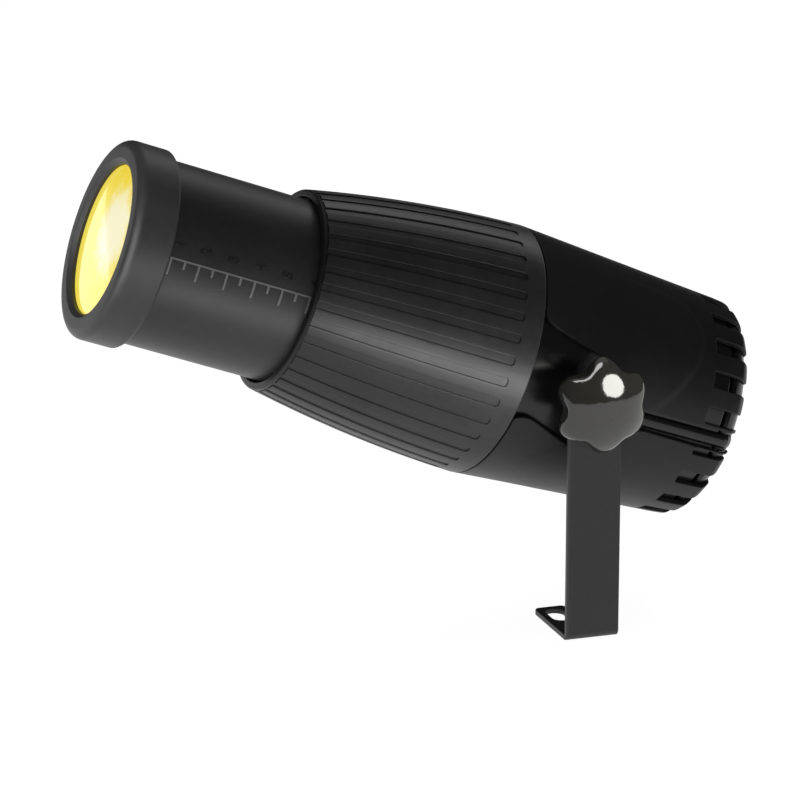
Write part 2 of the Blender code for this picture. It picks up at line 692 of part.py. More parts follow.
def make_light_engine():
    finned("heat_sink", star(22, 15.0, 34.0, 0.3, 0.12), [-8.0, -40.0], 0.0, ALUMINIUM)
    lathe("led_board", [(-7.7, 0.0), (-7.7, 22.0), (-6.1, 22.0), (-6.1, 0.0)], BOARD, FINE_STEPS, False)
    lathe("led_emitter", [(-5.8, 0.0), (-5.8, 9.0), (-4.6, 9.0), (-4.6, 0.0)], EMITTER, SMALL_STEPS, False)
    holder = [(-5.8, 12.0), (-5.8, 21.0), (-2.0, 24.0), (20.0, 30.0), (27.0, 30.0)]
    holder += [(27.0, 28.0), (19.0, 28.0), (18.0, 26.0), (-2.0, 14.0)]
    lathe("condenser_holder", holder, CORE_BLACK, FINE_STEPS)
    lens = [(19.3, 0.0), (19.3, 27.7), (21.3, 27.7), (24.5, 20.0), (26.6, 10.0), (27.3, 0.0)]
    lathe("condenser_lens", lens, GLASS, FINE_STEPS, False)
    gate = [(29.6, 14.0), (29.6, 52.4), (31.1, 52.4), (31.1, 14.0)]
    lathe("gate_plate", gate, ALUMINIUM, FINE_STEPS)
    rim = core_radius(-11.0) - CORE_WALL - GAP
    carrier = [(-8.0, 34.3), (-8.0, rim), (-11.0, rim), (-11.0, 34.3)]
    plate = lathe("heat_sink_carrier", carrier, ALUMINIUM, FINE_STEPS)
    relief = side_prism("carrier_relief", scaled(BLOCK_EDGE, -1.0), -70.0, -30.0, ALUMINIUM)
    boolean(plate, cutter(relief))


def make_fan():
    frame = box("fan_frame", (40.3, -30.0, -30.0), (55.3, 30.0, 30.0), CORE_BLACK, bevel=2.0)
    bore = [(-35.0, 0.0), (-35.0, 28.5), (-52.8, 28.5), (-52.8, 0.0)]
    boolean(frame, cutter(lathe("fan_bore", bore, CORE_BLACK, FINE_STEPS, False)))
    window = bmesh.new()
    for index in range(4):
        turned = 45.0 + 90.0 * index
        turned_box(window, -50.0, -60.0, turned - 34.0, turned + 34.0, 15.0, 28.4)
    boolean(frame, cutter(finish("fan_windows", window, CORE_BLACK, smooth=False)))
    finned("fan_rotor", star(7, 13.0, 27.3, 0.16, 0.09), [-42.3, -45.4, -48.6, -51.8], 0.16, NYLON)


def make_rear():
    outline = [(-69.0, 0.0), (-69.0, 46.0), (-71.0, 46.6), (-75.0, 43.5), (-76.4, 42.4), (-76.8, 41.4)]
    outline += [(-76.8, 40.0), (-74.2, 39.0), (-74.2, 0.0)]
    cap = lathe("rear_cap", outline, CORE_BLACK, STEPS, False)
    for index in range(5):
        low = 4.0 + index * 6.0
        length = math.sqrt(39.0 * 39.0 - (low + 3.0) ** 2)
        tool = box("rear_slot_%d" % index, (60.0, -length, low), (80.0, length, low + 3.0), CORE_BLACK)
        boolean(cap, cutter(tool))
    gland_bore = [(-60.0, 0.0), (-60.0, 6.3), (-80.0, 6.3), (-80.0, 0.0)]
    hole = lathe("gland_hole", gland_bore, CORE_BLACK, SMALL_STEPS, False)
    hole.location = (0.0, 0.0, GLAND_HEIGHT * MM)
    boolean(cap, cutter(hole))
    body = [(-66.0, 3.2), (-66.0, 6.0), (-74.5, 6.0), (-74.5, 9.0)]
    body += [(-79.5, 9.0), (-80.5, 7.6), (-84.0, 6.2), (-84.0, 3.2)]
    gland = lathe("cable_gland", body, NYLON, SMALL_STEPS)
    gland.location = (0.0, 0.0, GLAND_HEIGHT * MM)
    insert = [(-66.4, 0.0), (-66.4, 2.9), (-83.4, 2.9), (-83.4, 1.4), (-82.2, 0.6), (-82.2, 0.0)]
    seal = lathe("gland_seal", insert, RUBBER, SMALL_STEPS, False)
    seal.location = (0.0, 0.0, GLAND_HEIGHT * MM)
    nut = [(-68.7, 7.4), (-68.7, 10.0), (-66.2, 10.0), (-66.2, 7.4)]
    ring = lathe("gland_nut", nut, NYLON, 6)
    ring.location = (0.0, 0.0, GLAND_HEIGHT * MM)
    box("driver_board", (61.4, -24.0, -8.0), (63.0, 24.0, 32.0), BOARD)
    plug = [(48.6, 0.0), (48.6, 9.0), (51.4, 9.0), (52.6, 7.5), (52.9, 0.0)]
    side_turned("far_side_plug", plug, SATIN_BLACK, FINE_STEPS, closed=False)


make_bezel()
make_lens()
make_lens_ring()
make_tube()
make_barrel()
make_lip()
make_slide_ring()
make_shells()
make_core()
make_pivot_block()
make_tilt_joint()
make_bracket()
make_light_engine()
make_fan()
make_rear()
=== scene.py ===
"""Looks for a small LED follow spot on a single-arm bracket.

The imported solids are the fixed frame. Each outer part is modelled again here with fine edges where
its solid lies, and the enclosed parts keep their solids and get a procedural finish.
Class sizes are millimetres. On the lamp a station runs forward along the beam from the tilt axis,
and an angle runs round the beam from the knob side, positive downwards.
"""

import json
import logging
import math
from dataclasses import dataclass
from enum import Enum
from typing import Callable, Iterable, Sequence

import bmesh
import bpy
from mathutils import Matrix, Vector

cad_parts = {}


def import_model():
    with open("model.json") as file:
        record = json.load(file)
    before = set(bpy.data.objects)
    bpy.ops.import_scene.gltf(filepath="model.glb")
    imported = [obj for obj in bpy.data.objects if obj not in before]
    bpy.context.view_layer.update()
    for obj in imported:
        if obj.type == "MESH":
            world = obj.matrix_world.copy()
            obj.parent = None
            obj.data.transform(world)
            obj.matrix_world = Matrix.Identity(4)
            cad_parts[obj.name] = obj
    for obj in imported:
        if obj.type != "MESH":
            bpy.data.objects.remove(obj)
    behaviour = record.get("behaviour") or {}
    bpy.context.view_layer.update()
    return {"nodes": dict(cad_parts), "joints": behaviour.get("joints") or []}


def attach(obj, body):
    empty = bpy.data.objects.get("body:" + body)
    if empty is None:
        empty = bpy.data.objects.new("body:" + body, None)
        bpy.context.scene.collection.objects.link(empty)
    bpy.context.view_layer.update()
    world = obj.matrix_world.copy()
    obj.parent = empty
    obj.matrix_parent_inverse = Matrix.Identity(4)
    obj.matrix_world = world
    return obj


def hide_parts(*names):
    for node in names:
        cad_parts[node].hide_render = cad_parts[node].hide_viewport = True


LOG = logging.getLogger("follow_spot")
MM = 0.001
WRAP_RADIUS = 52.0
JOIN_DISTANCE = 0.0005

Corner = tuple[float, float, float]
Point2 = tuple[float, float]


class Body(Enum):
    """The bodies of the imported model."""

    BRACKET = "bracket"
    LAMP = "lamp_body"
    SLIDE = "lens_slide"
    KNOB = "knob"
    FAN = "fan"


class Axis(Enum):
    """The axis that a turned part is spun about."""

    BEAM = (1.0, 0.0, 0.0)
    TILT = (0.0, 1.0, 0.0)


# ---------------------------------------------------------------- outlines and mesh operations


def rounded(corners: Sequence[Corner], steps: int = 4) -> list[Point2]:
    """Rounds the corners of a closed outline with arcs.

    Args:
        corners: Each corner's two coordinates and its radius. A radius of 0 keeps it sharp.
        steps: The number of segments to one arc.

    Returns:
        The outline's points in the same order.
    """
    outline: list[Point2] = []
    for index, (across, along, radius) in enumerate(corners):
        here = Vector((across, along))
        before = Vector(corners[index - 1][:2]) - here
        after = Vector(corners[(index + 1) % len(corners)][:2]) - here
        half = before.angle(after) * 0.5
        if radius <= 0.0 or half > math.radians(89.0):
            outline.append((across, along))
            continue
        reach = min(radius / math.tan(half), 0.48 * before.length, 0.48 * after.length)
        real = reach * math.tan(half)
        before.normalize()
        after.normalize()
        centre = here + (before + after).normalized() * (real / math.sin(half))
        first = here + before * reach - centre
        last = here + after * reach - centre
        start = math.atan2(first.y, first.x)
        sweep = (math.atan2(last.y, last.x) - start + math.pi) % (2.0 * math.pi) - math.pi
        for step in range(steps + 1):
            turn = start + sweep * step / steps
            outline.append((centre.x + real * math.cos(turn), centre.y + real * math.sin(turn)))
    return outline


def turned(
    profile: Sequence[Point2], axis: Axis, steps: int = 128, closed: bool = True
) -> bmesh.types.BMesh:
    """Spins a profile into a turned part.

    Args:
        profile: (along, radius) points. Along is a station for the beam axis and Y for the tilt axis.
        axis: The axis it is spun about.
        steps: The number of segments round the part.
        closed: True for a ring, False for a part whose profile starts and ends on the axis.

    Returns:
        The mesh, in the lamp's own millimetres.
    """
    mesh = bmesh.new()
    if axis is Axis.BEAM:
        verts = [mesh.verts.new((-along, 0.0, radius)) for along, radius in profile]
    else:
        verts = [mesh.verts.new((0.0, along, radius)) for along, radius in profile]
    edges = [mesh.edges.new(pair) for pair in zip(verts, verts[1:])]
    if closed:
        edges.append(mesh.edges.new((verts[-1], verts[0])))
    bmesh.ops.spin(
        mesh,
        geom=verts + edges,
        cent=(0.0, 0.0, 0.0),
        axis=axis.value,
        angle=2.0 * math.pi,
        steps=steps,
        use_merge=True,
    )
    return mesh


def softened(
    mesh: bmesh.types.BMesh, edges: list[bmesh.types.BMEdge], offset: float, segments: int
) -> None:
    """Rounds edges.

    Args:
        mesh: The mesh that they belong to.
        edges: The edges to round.
        offset: The width of the rounding.
        segments: The number of segments across it.
    """
    bmesh.ops.bevel(
        mesh, geom=edges, offset=offset, segments=segments, affect="EDGES", profile=0.5, material=-1
    )


def shown(name: str, data: bpy.types.ID) -> bpy.types.Object:
    """Makes an object of some data and links it to the scene."""
    made = bpy.data.objects.new(name, data)
    bpy.context.scene.collection.objects.link(made)
    return made


def plate(
    outline: Sequence[Point2],
    wall: float,
    rim: float = 0.0,
    holes: Sequence[Sequence[Point2]] = (),
    segments: int = 3,
) -> bmesh.types.BMesh:
    """Makes a flat plate below height 0, with its upper rims rounded.

    Args:
        outline: The plate's closed outline.
        wall: Its thickness.
        rim: The radius of its upper edges.
        holes: Closed outlines of the holes through it.
        segments: The segments of a rounded rim.

    Returns:
        The plate's mesh.
    """
    mesh = bmesh.new()
    edges = []
    for loop in (outline, *holes):
        verts = [mesh.verts.new((across, along, 0.0)) for across, along in loop]
        if not holes:
            mesh.faces.new(verts)
            break
        edges += [mesh.edges.new(pair) for pair in zip(verts, verts[1:] + verts[:1])]
    if holes:
        bmesh.ops.triangle_fill(mesh, use_beauty=True, use_dissolve=False, edges=edges)
        bmesh.ops.dissolve_limit(
            mesh, angle_limit=0.01, use_dissolve_boundaries=False, verts=mesh.verts, edges=mesh.edges
        )
    for face in mesh.faces:
        face.normal_update()
        if face.normal.z < 0.0:
            face.normal_flip()
    swept = bmesh.ops.extrude_face_region(mesh, geom=mesh.faces[:], use_keep_orig=True)
    lower = [item for item in swept["geom"] if isinstance(item, bmesh.types.BMVert)]
    bmesh.ops.translate(mesh, verts=lower, vec=(0.0, 0.0, -wall))
    bmesh.ops.recalc_face_normals(mesh, faces=mesh.faces)
    if rim > 0.0:
        softened(mesh, [edge for edge in mesh.edges if is_rim(edge)], rim, segments)
    return mesh


def is_rim(edge: bmesh.types.BMEdge) -> bool:
    """True for an edge between a plate's top and its side wall."""
    if len(edge.link_faces) != 2 or any(abs(vert.co.z) > 1e-6 for vert in edge.verts):
        return False
    return edge.link_faces[0].normal.angle(edge.link_faces[1].normal, 0.0) > math.radians(60.0)


def sliced(mesh: bmesh.types.BMesh, axis: int, positions: Iterable[float]) -> None:
    """Cuts every face where a coordinate has the given values, so that the plate can bend there.

    Args:
        mesh: The mesh to cut.
        axis: 0, 1 or 2 for the coordinate.
        positions: Where to cut.
    """
    normal = Vector((0.0, 0.0, 0.0))
    normal[axis] = 1.0
    for position in positions:
        bmesh.ops.bisect_plane(
            mesh,
            geom=mesh.verts[:] + mesh.edges[:] + mesh.faces[:],
            dist=1e-5,
            plane_co=normal * position,
            plane_no=normal,
        )


def spread(start: float, end: float, pitch: float) -> list[float]:
    """Evenly spaced values strictly between two ends, about a pitch apart."""
    count = max(1, round(abs(end - start) / pitch))
    return [start + (end - start) * step / count for step in range(1, count)]


def wrapped(mesh: bmesh.types.BMesh, surface: Callable[[float, float], float]) -> None:
    """Wraps a flat plate (station, distance round, height) round the beam axis.

    Args:
        mesh: The plate. Distance round is an angle in radians times the wrap radius.
        surface: Gives the radius at a station and an angle in degrees.
    """
    for vert in mesh.verts:
        station, around, height = vert.co
        turn = around / WRAP_RADIUS
        radius = surface(station, math.degrees(turn)) + height
        vert.co = (-station, -math.cos(turn) * radius, -math.sin(turn) * radius)


def around_of(degrees: float) -> float:
    """The distance round on a flat plate that stands for an angle."""
    return math.radians(degrees) * WRAP_RADIUS


def cut_by(target: bmesh.types.BMesh, tool: bmesh.types.BMesh) -> bmesh.types.BMesh:
    """Subtracts one closed mesh from another.

    Args:
        target: The mesh that is cut. It is freed.
        tool: The cutter. It is freed.

    Returns:
        The cut mesh.
    """
    things = []
    for mesh in (target, tool):
        bmesh.ops.remove_doubles(mesh, verts=mesh.verts, dist=JOIN_DISTANCE)
        bmesh.ops.recalc_face_normals(mesh, faces=mesh.faces)
        data = bpy.data.meshes.new("cut_step")
        mesh.to_mesh(data)
        mesh.free()
        things.append(shown("cut_step", data))
    change = things[0].modifiers.new("cut", "BOOLEAN")
    change.operation = "DIFFERENCE"
    change.solver = "EXACT"
    change.object = things[1]
    graph = bpy.context.evaluated_depsgraph_get()
    made = bmesh.new()
    made.from_object(things[0], graph)
    for thing in things:
        data = thing.data
        bpy.data.objects.remove(thing)
        bpy.data.meshes.remove(data)
    return made


# ---------------------------------------------------------------- finishes


class Nodes:
    """A short way to write a material's nodes."""

    def __init__(self, name: str) -> None:
        """Starts a material with an output and a Principled shader."""
        self.material = bpy.data.materials.new(name)
        self.material.use_nodes = True
        self.tree = self.material.node_tree
        self.shader = self.tree.nodes["Principled BSDF"]
        self.place = self.add("ShaderNodeTexCoord").outputs["Object"]

    def add(self, kind: str, **settings: object) -> bpy.types.Node:
        """Adds a node and sets its properties."""
        node = self.tree.nodes.new(kind)
        for key, value in settings.items():
            setattr(node, key, value)
        return node

    def link(self, source: bpy.types.NodeSocket, target: bpy.types.NodeSocket) -> None:
        """Links two sockets."""
        self.tree.links.new(source, target)

    def noise(self, scale: float, detail: float = 2.0, rough: float = 0.5) -> bpy.types.NodeSocket:
        """Adds a noise of a given scale and returns its factor."""
        node = self.add("ShaderNodeTexNoise")
        node.inputs["Scale"].default_value = scale
        node.inputs["Detail"].default_value = detail
        node.inputs["Roughness"].default_value = rough
        self.link(self.place, node.inputs["Vector"])
        return node.outputs["Fac"]

    def ranged(
        self,
        source: bpy.types.NodeSocket,
        low: float,
        high: float,
        to_low: float = 0.0,
        to_high: float = 1.0,
        smooth: bool = False,
    ) -> bpy.types.NodeSocket:
        """Maps a value from one range to another.

        Args:
            source: The value.
            low: The start of its range.
            high: The end of its range.
            to_low: The result at the start.
            to_high: The result at the end.
            smooth: True for a smooth step.

        Returns:
            The mapped value.
        """
        node = self.add("ShaderNodeMapRange")
        node.interpolation_type = "SMOOTHSTEP" if smooth else "LINEAR"
        for index, value in enumerate((low, high, to_low, to_high), start=1):
            node.inputs[index].default_value = value
        self.link(source, node.inputs[0])
        return node.outputs[0]

    def mixed(
        self, share: bpy.types.NodeSocket, first: object, second: object
    ) -> bpy.types.NodeSocket:
        """Mixes two colours, each given as three numbers or as a socket.

        Args:
            share: The share of the second colour.
            first: The first colour.
            second: The second colour.

        Returns:
            The mixed colour.
        """
        node = self.add("ShaderNodeMix", data_type="RGBA")
        self.link(share, node.inputs[0])
        for socket, colour in ((node.inputs[6], first), (node.inputs[7], second)):
            if isinstance(colour, bpy.types.NodeSocket):
                self.link(colour, socket)
            else:
                socket.default_value = (*colour, 1.0)
        return node.outputs[2]

    def maths(self, operation: str, first: object, second: object) -> bpy.types.NodeSocket:
        """Applies a Math node to two values, each a number or a socket."""
        node = self.add("ShaderNodeMath", operation=operation)
        for socket, value in zip(node.inputs, (first, second)):
            if isinstance(value, bpy.types.NodeSocket):
                self.link(value, socket)
            else:
                socket.default_value = value
        return node.outputs[0]

    def bump(self, height: bpy.types.NodeSocket, depth: float) -> None:
        """Gives the shader a bump of a given depth in metres."""
        node = self.add("ShaderNodeBump")
        node.inputs["Strength"].default_value = 1.0
        node.inputs["Distance"].default_value = depth
        self.link(height, node.inputs["Height"])
        self.link(node.outputs["Normal"], self.shader.inputs["Normal"])

    def set(self, **values: float) -> None:
        """Sets constants straight on the shader's sockets. An underscore stands for a space."""
        for key, value in values.items():
            self.shader.inputs[key.replace("_", " ")].default_value = value


@dataclass(frozen=True)
class Finish:
    """A surface with a fine grain, wandering gloss and slightly worn edges.

    Lengths are metres, and scales are features to the metre.
    """

    slot: str
    colour: tuple[float, float, float]
    roughness: float
    wander: float = 0.05
    grain: float = 1500.0
    relief: float = 0.00002
    metallic: float = 0.0
    specular: float = 0.5
    coat: float = 0.0
    wear: float = 0.0
    label: str = ""

    @property
    def name(self) -> str:
        """The material's name."""
        return self.label or self.slot

    def material(self) -> bpy.types.Material:
        """Makes the material once and returns it afterwards."""
        found = bpy.data.materials.get("finish_" + self.name)
        if found:
            return found
        nodes = Nodes("finish_" + self.name)
        grain = nodes.noise(self.grain, 3.0, 0.6)
        cloud = nodes.noise(38.0, 4.0, 0.6)
        blotch = nodes.noise(self.grain * 0.22, 2.0)
        broad = nodes.maths("MULTIPLY", cloud, 0.6)
        fine = nodes.maths("MULTIPLY", blotch, 0.4)
        gloss = nodes.maths("ADD", broad, fine)
        low = self.roughness - self.wander
        high = self.roughness + self.wander
        nodes.link(nodes.ranged(gloss, 0.3, 0.7, low, high), nodes.shader.inputs["Roughness"])
        dark = tuple(part * 0.8 for part in self.colour)
        light = tuple(part * 1.25 for part in self.colour)
        colour = nodes.mixed(nodes.ranged(gloss, 0.3, 0.7), dark, light)
        if self.wear > 0.0:
            edge = nodes.add("ShaderNodeNewGeometry").outputs["Pointiness"]
            share = nodes.ranged(edge, 0.52, 0.62, 0.0, self.wear)
            worn = tuple(min(1.0, part * 2.5 + 0.02) for part in self.colour)
            colour = nodes.mixed(nodes.maths("MULTIPLY", share, grain), colour, worn)
        nodes.link(colour, nodes.shader.inputs["Base Color"])
        nodes.bump(grain, self.relief)
        nodes.set(Metallic=self.metallic, Specular_IOR_Level=self.specular, Coat_Weight=self.coat)
        nodes.set(Coat_Roughness=0.08)
        return nodes.material


@dataclass(frozen=True)
class GlowFinish:
    """The lit front lens: a pale hot patch that turns yellow and then amber across the glass."""

    slot: str
    hot_patch: tuple[float, float, float]
    up: tuple[float, float, float]
    cream: tuple[float, float, float] = (1.0, 0.955, 0.66)
    yellow: tuple[float, float, float] = (0.98, 0.80, 0.09)
    amber: tuple[float, float, float] = (0.87, 0.64, 0.003)
    patch_radius: float = 0.010
    fade_radius: float = 0.024

    def material(self) -> bpy.types.Material:
        """Makes the material."""
        nodes = Nodes("finish_lit_lens")
        offset = nodes.add("ShaderNodeVectorMath", operation="SUBTRACT")
        nodes.link(nodes.place, offset.inputs[0])
        offset.inputs[1].default_value = self.hot_patch
        length = nodes.add("ShaderNodeVectorMath", operation="LENGTH")
        nodes.link(offset.outputs[0], length.inputs[0])
        haze = nodes.noise(170.0, 5.0, 0.62)
        speck = nodes.noise(900.0, 3.0, 0.7)
        ragged = nodes.maths("MULTIPLY", nodes.maths("SUBTRACT", haze, 0.5), 0.016)
        reach = nodes.maths("ADD", length.outputs["Value"], ragged)
        share = nodes.ranged(reach, self.patch_radius, self.fade_radius, smooth=True)
        colour = nodes.mixed(share, self.cream, self.yellow)
        climb = nodes.add("ShaderNodeVectorMath", operation="DOT_PRODUCT")
        nodes.link(offset.outputs[0], climb.inputs[0])
        climb.inputs[1].default_value = self.up
        height = nodes.maths("ADD", climb.outputs["Value"], ragged)
        rise = nodes.ranged(height, 0.006, 0.034, smooth=True)
        colour = nodes.mixed(rise, colour, self.amber)
        spots = nodes.ranged(speck, 0.56, 0.7, 0.0, 0.55)
        colour = nodes.mixed(nodes.maths("MULTIPLY", spots, rise), colour, self.cream)
        nodes.link(colour, nodes.shader.inputs["Emission Color"])
        nodes.set(Emission_Strength=1.0, Metallic=0.0, Coat_Weight=0.6, Coat_Roughness=0.03, IOR=1.5)
        nodes.shader.inputs["Base Color"].default_value = (0.10, 0.08, 0.02, 1.0)
        nodes.link(nodes.ranged(haze, 0.3, 0.7, 0.05, 0.14), nodes.shader.inputs["Roughness"])
        nodes.bump(haze, 0.00003)
        return nodes.material


class Palette:
    """Every finish of the follow spot."""

    slide = Finish(
        "satin_black_plastic", (0.016, 0.016, 0.0165), 0.42, 0.05, 1500.0, 0.00003, specular=0.28, wear=0.5
    )
    # Light grey scale marks: a painted highlight on the raised marks, standing in for the light their tops
    # catch
    relief = Finish(
        "satin_black_plastic", (0.17, 0.17, 0.172), 0.42, 0.05, 1500.0, 0.000022, label="scale_painted_highlight"
    )
    barrel = Finish(
        "satin_black_plastic", (0.014, 0.014, 0.0145), 0.38, 0.05, 1300.0, 0.00003, specular=0.28,
        label="barrel_plastic",
    )
    shell = Finish(
        "matte_shell_black", (0.015, 0.015, 0.0155), 0.46, 0.05, 1100.0, 0.00003, specular=0.26, wear=0.4
    )
    core = Finish("gloss_black_core", (0.007, 0.007, 0.0072), 0.24, 0.04, 700.0, 0.00001, specular=0.4)
    knob = Finish("gloss_black_knob", (0.012, 0.0115, 0.0100), 0.09, 0.03, 110.0, 0.00016, coat=0.5)
    bracket = Finish(
        "powder_coated_steel", (0.030, 0.030, 0.031), 0.5, 0.06, 2100.0, 0.00004, specular=0.4, wear=0.8
    )
    aluminium = Finish("plain_aluminium", (0.62, 0.62, 0.64), 0.32, 0.08, 900.0, 0.00001, metallic=1.0)
    zinc = Finish("zinc_plated_steel", (0.52, 0.52, 0.54), 0.28, 0.08, 600.0, 0.00001, metallic=1.0)
    glass = Finish("lens_glass", (0.55, 0.56, 0.55), 0.05, 0.02, 120.0, 0.000004, coat=0.5)
    emitter = Finish("emitter_phosphor", (0.86, 0.66, 0.12), 0.5, 0.08, 1600.0, 0.00003)
    board = Finish("circuit_board", (0.02, 0.12, 0.045), 0.42, 0.08, 800.0, 0.00003)
    felt = Finish("black_felt", (0.015, 0.015, 0.015), 0.92, 0.05, 2600.0, 0.00012)
    friction = Finish("friction_fibre", (0.11, 0.09, 0.08), 0.8, 0.08, 1900.0, 0.00006)
    nylon = Finish("black_nylon", (0.018, 0.018, 0.018), 0.45, 0.06, 1500.0, 0.00002, wear=0.4)
    rubber = Finish("seal_rubber", (0.014, 0.014, 0.014), 0.8, 0.08, 1700.0, 0.00003)


# ---------------------------------------------------------------- frame and base class


@dataclass(frozen=True)
class LampFrame:
    """Where the lamp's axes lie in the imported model, in metres."""

    pivot: Vector
    beam: Vector

    @classmethod
    def packed(cls, joints: Sequence[dict]) -> "LampFrame":
        """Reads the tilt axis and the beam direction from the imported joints."""
        by_name = {joint["name"]: joint for joint in joints}
        pivot = Vector(by_name["tilt"]["pos_m"])
        return cls(pivot, Vector(by_name["focus_slide"]["axis"]).normalized())

    @property
    def up(self) -> Vector:
        """The lamp's own upward direction."""
        return (-self.beam).cross(Vector((0.0, 1.0, 0.0))).normalized()

    @property
    def body(self) -> Matrix:
        """Takes the lamp's millimetres (-station, y, height) to the model's metres."""
        turn = Matrix((-self.beam, Vector((0.0, 1.0, 0.0)), self.up)).transposed()
        return Matrix.Translation(self.pivot) @ turn.to_4x4() @ Matrix.Scale(MM, 4)

    @property
    def upright(self) -> Matrix:
        """Takes level millimetres about the tilt axis to the model's metres."""
        return Matrix.Translation(self.pivot) @ Matrix.Scale(MM, 4)

    @property
    def seat(self) -> Matrix:
        """Takes the bracket's millimetres, measured from the floor, to the model's metres."""
        return Matrix.Translation((self.pivot.x, self.pivot.y, 0.0)) @ Matrix.Scale(MM, 4)

    def point(self, station: float, across: float, height: float) -> Vector:
        """A place on the lamp in the model's metres."""
        return self.body @ Vector((-station, across, height))


@dataclass
class SubAssembly:
    """A group of pieces that share a frame."""

    lamp: LampFrame

    def piece(
        self,
        name: str,
        mesh: bmesh.types.BMesh,
        finish: Finish | GlowFinish,
        body: Body,
        nodes: Sequence[str] = (),
        place: Matrix | None = None,
        sharp: float = 32.0,
    ) -> bpy.types.Object:
        """Closes a mesh, puts it in its place and hands it to its body.

        Args:
            name: The piece's name.
            mesh: Its mesh in millimetres. It is freed.
            finish: The finish it is dressed in.
            body: The body it rides on.
            nodes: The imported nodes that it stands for.
            place: The matrix that puts it in the model; the lamp's own by default.
            sharp: Edges that turn by more degrees than this are drawn sharp.

        Returns:
            The finished object.
        """
        bmesh.ops.remove_doubles(mesh, verts=mesh.verts, dist=JOIN_DISTANCE)
        bmesh.ops.recalc_face_normals(mesh, faces=mesh.faces)
        mesh.transform(place or self.lamp.body)
        data = bpy.data.meshes.new(name)
        mesh.to_mesh(data)
        mesh.free()
        data.shade_smooth()
        data.set_sharp_from_angle(angle=math.radians(sharp))
        data.materials.append(finish.material())
        made = shown(name, data)
        weighted = made.modifiers.new("weighted_normals", "WEIGHTED_NORMAL")
        weighted.keep_sharp = True
        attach(made, body.value)
        if nodes:
            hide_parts(*nodes)
        LOG.info("%s: %d faces on %s", name, len(data.polygons), body.value)
        return made


# ---------------------------------------------------------------- lens slide


